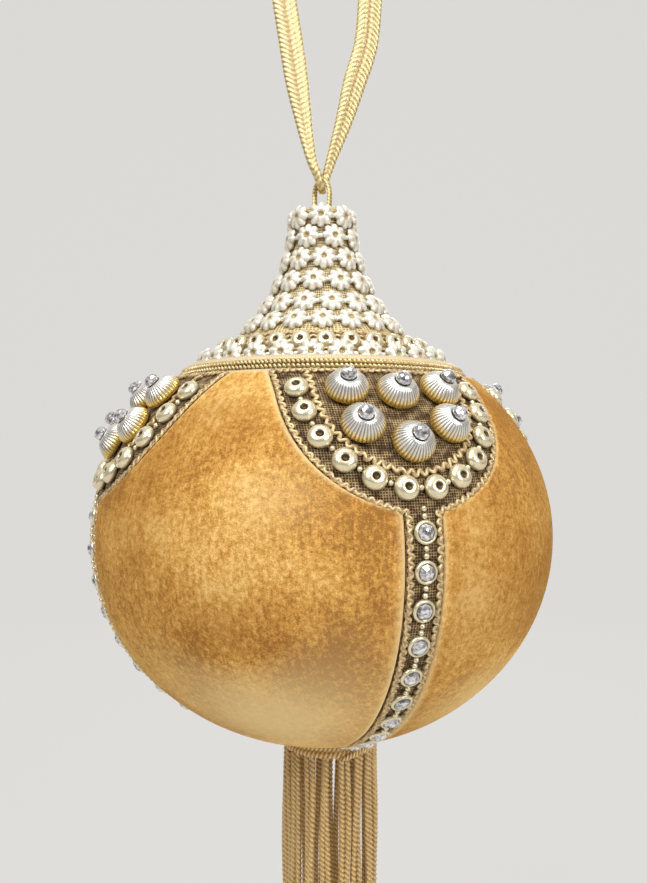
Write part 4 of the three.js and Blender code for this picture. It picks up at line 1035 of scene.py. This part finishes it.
number = np.arange(strand_count)[:, None, None]
strand_angle = 2 * np.pi * (number + 0.32 * np.sin(number * 2.9)) / strand_count
share = np.linspace(0, 1, int(strand_drop / strand_step))[None, :, None]
drop = share * (strand_drop + 0.0015 * np.sin(number * 1.7))
swing = 0.0005 * np.sin(number * 2.4) * share + 0.0004 * np.sin(9 * share + number)
out = tassel_radius - strand_radius - 0.0003 + swing
strand_angle = strand_angle + 0.03 * np.sin(7 * share + 1.7 * number)
wrap = full_round(8)
ply = np.cos(2 * (wrap - (2 * np.pi * drop / strand_lay + number)))
end_round = np.sqrt(1 - np.clip((share - 0.985) / 0.0152, 0, 1) ** 2)
size = strand_radius * (0.76 + 0.24 * ply) * end_round
strands = np.stack(np.broadcast_arrays(out * np.sin(strand_angle) + size * np.cos(wrap),
                                       -out * np.cos(strand_angle) + size * np.sin(wrap),
                                       heading_foot + strand_tuck - drop), -1) + tassel_middle


def twisted(name, grid, ply, ring=False, replaces=None):
    """A piece of the tassel in twisted bullion, with painted shade where its plies meet and painted light on
    them.
    """
    piece(name, grid, bullion.material, "pouch", "bullion", ring=ring, replaces=replaces,
          ply=np.clip(0.5 + 0.5 * ply, 0, 1))


twisted("fringe_strands", strands[:, :, ::-1], ply[..., ::-1], replaces="tassel_fringe")


# The tassel's heading: two twisted ropes sewn one above the other under the ball, in the same
# bullion. Its end is lapped over its start in a slant, and tied off with a small knot.
def under_ball(x, y):
    """Height of the ball's underside, covers included: an ellipse below the middle of the ball."""
    cover = panel_rise + velvet_thickness
    r = np.hypot(x, y)
    return -(ball_half_height + cover) * np.sqrt(1 - (r / (ball_radius + cover)) ** 2) - hang_drop


heading_turns = full_round(400)[:, None]
heading_wrap = full_round(14)
heading_out, rope_half_width, rope_swell = tassel_radius - 0.0014, 0.0011, 0.14
heading_tall = under_ball(heading_out * np.sin(heading_turns) + tassel_middle[0],
                          -heading_out * np.cos(heading_turns) + tassel_middle[1]) - heading_foot
rope_ply = np.cos(2 * heading_wrap - 70 * heading_turns)
for name, share, replaces in (("fringe_heading_low", 0.27, "tassel_heading"),
                              ("fringe_heading_high", 0.73, None)):
    rope_r = heading_out + rope_half_width * (1 + rope_swell * rope_ply) * np.cos(heading_wrap)
    rope_z = heading_foot + heading_tall * share + (
        heading_tall * 0.27 * (1 + rope_swell * rope_ply) * np.sin(heading_wrap))
    rope_grid = round_axis(rope_r, rope_z + hang_drop, heading_turns) + tassel_middle
    twisted(name, rope_grid[:, ::-1], rope_ply[:, ::-1], ring=True, replaces=replaces)

lap_share = np.linspace(0, 1, 90)[:, None]
lap_angle = 0.22 + 0.95 * lap_share + view_turn
lap_facing = np.concatenate([np.sin(lap_angle), -np.cos(lap_angle), 0 * lap_angle], 1)
lap_path = lap_facing * (tassel_radius + 0.0003) + tassel_middle
lap_top = under_ball(lap_path[:, :1], lap_path[:, 1:2])
lap_path[:, 2:] = heading_foot - 0.0004 + (lap_top - heading_foot) * (0.1 + 0.8 * lap_share)
lap_ply = np.cos(2 * heading_wrap - 2 * np.pi * lap_share * 14)
lap_size = (1 + rope_swell * lap_ply) * np.sqrt(np.clip(1.002 - (2 * lap_share - 1) ** 6, 0, 1))
lap_grid = section_along(lap_path, sides_of(lap_path, lap_facing), 0.0009 * lap_size * np.cos(heading_wrap),
                         0.0006 * lap_size * np.sin(heading_wrap))
twisted("fringe_heading_lap", lap_grid, lap_ply)

knot_outline = np.array([[0.1, -1.1], [0.8, -0.8], [1.15, 0], [0.8, 0.8], [0.1, 1.1]]) / 1000
knot_shape = turned_shape(knot_outline, 20) * (1 + 0.12 * np.cos(5 * full_round(20)))[:, None]
knot_at = 28  # the point of the lap that the knot is tied over
knot_place = lap_path[knot_at] + lap_facing[knot_at] * 0.0006
knot_place[2] = lap_top[knot_at, 0] - 0.0009
twisted("fringe_heading_knot", knot_shape + knot_place, -0.5)
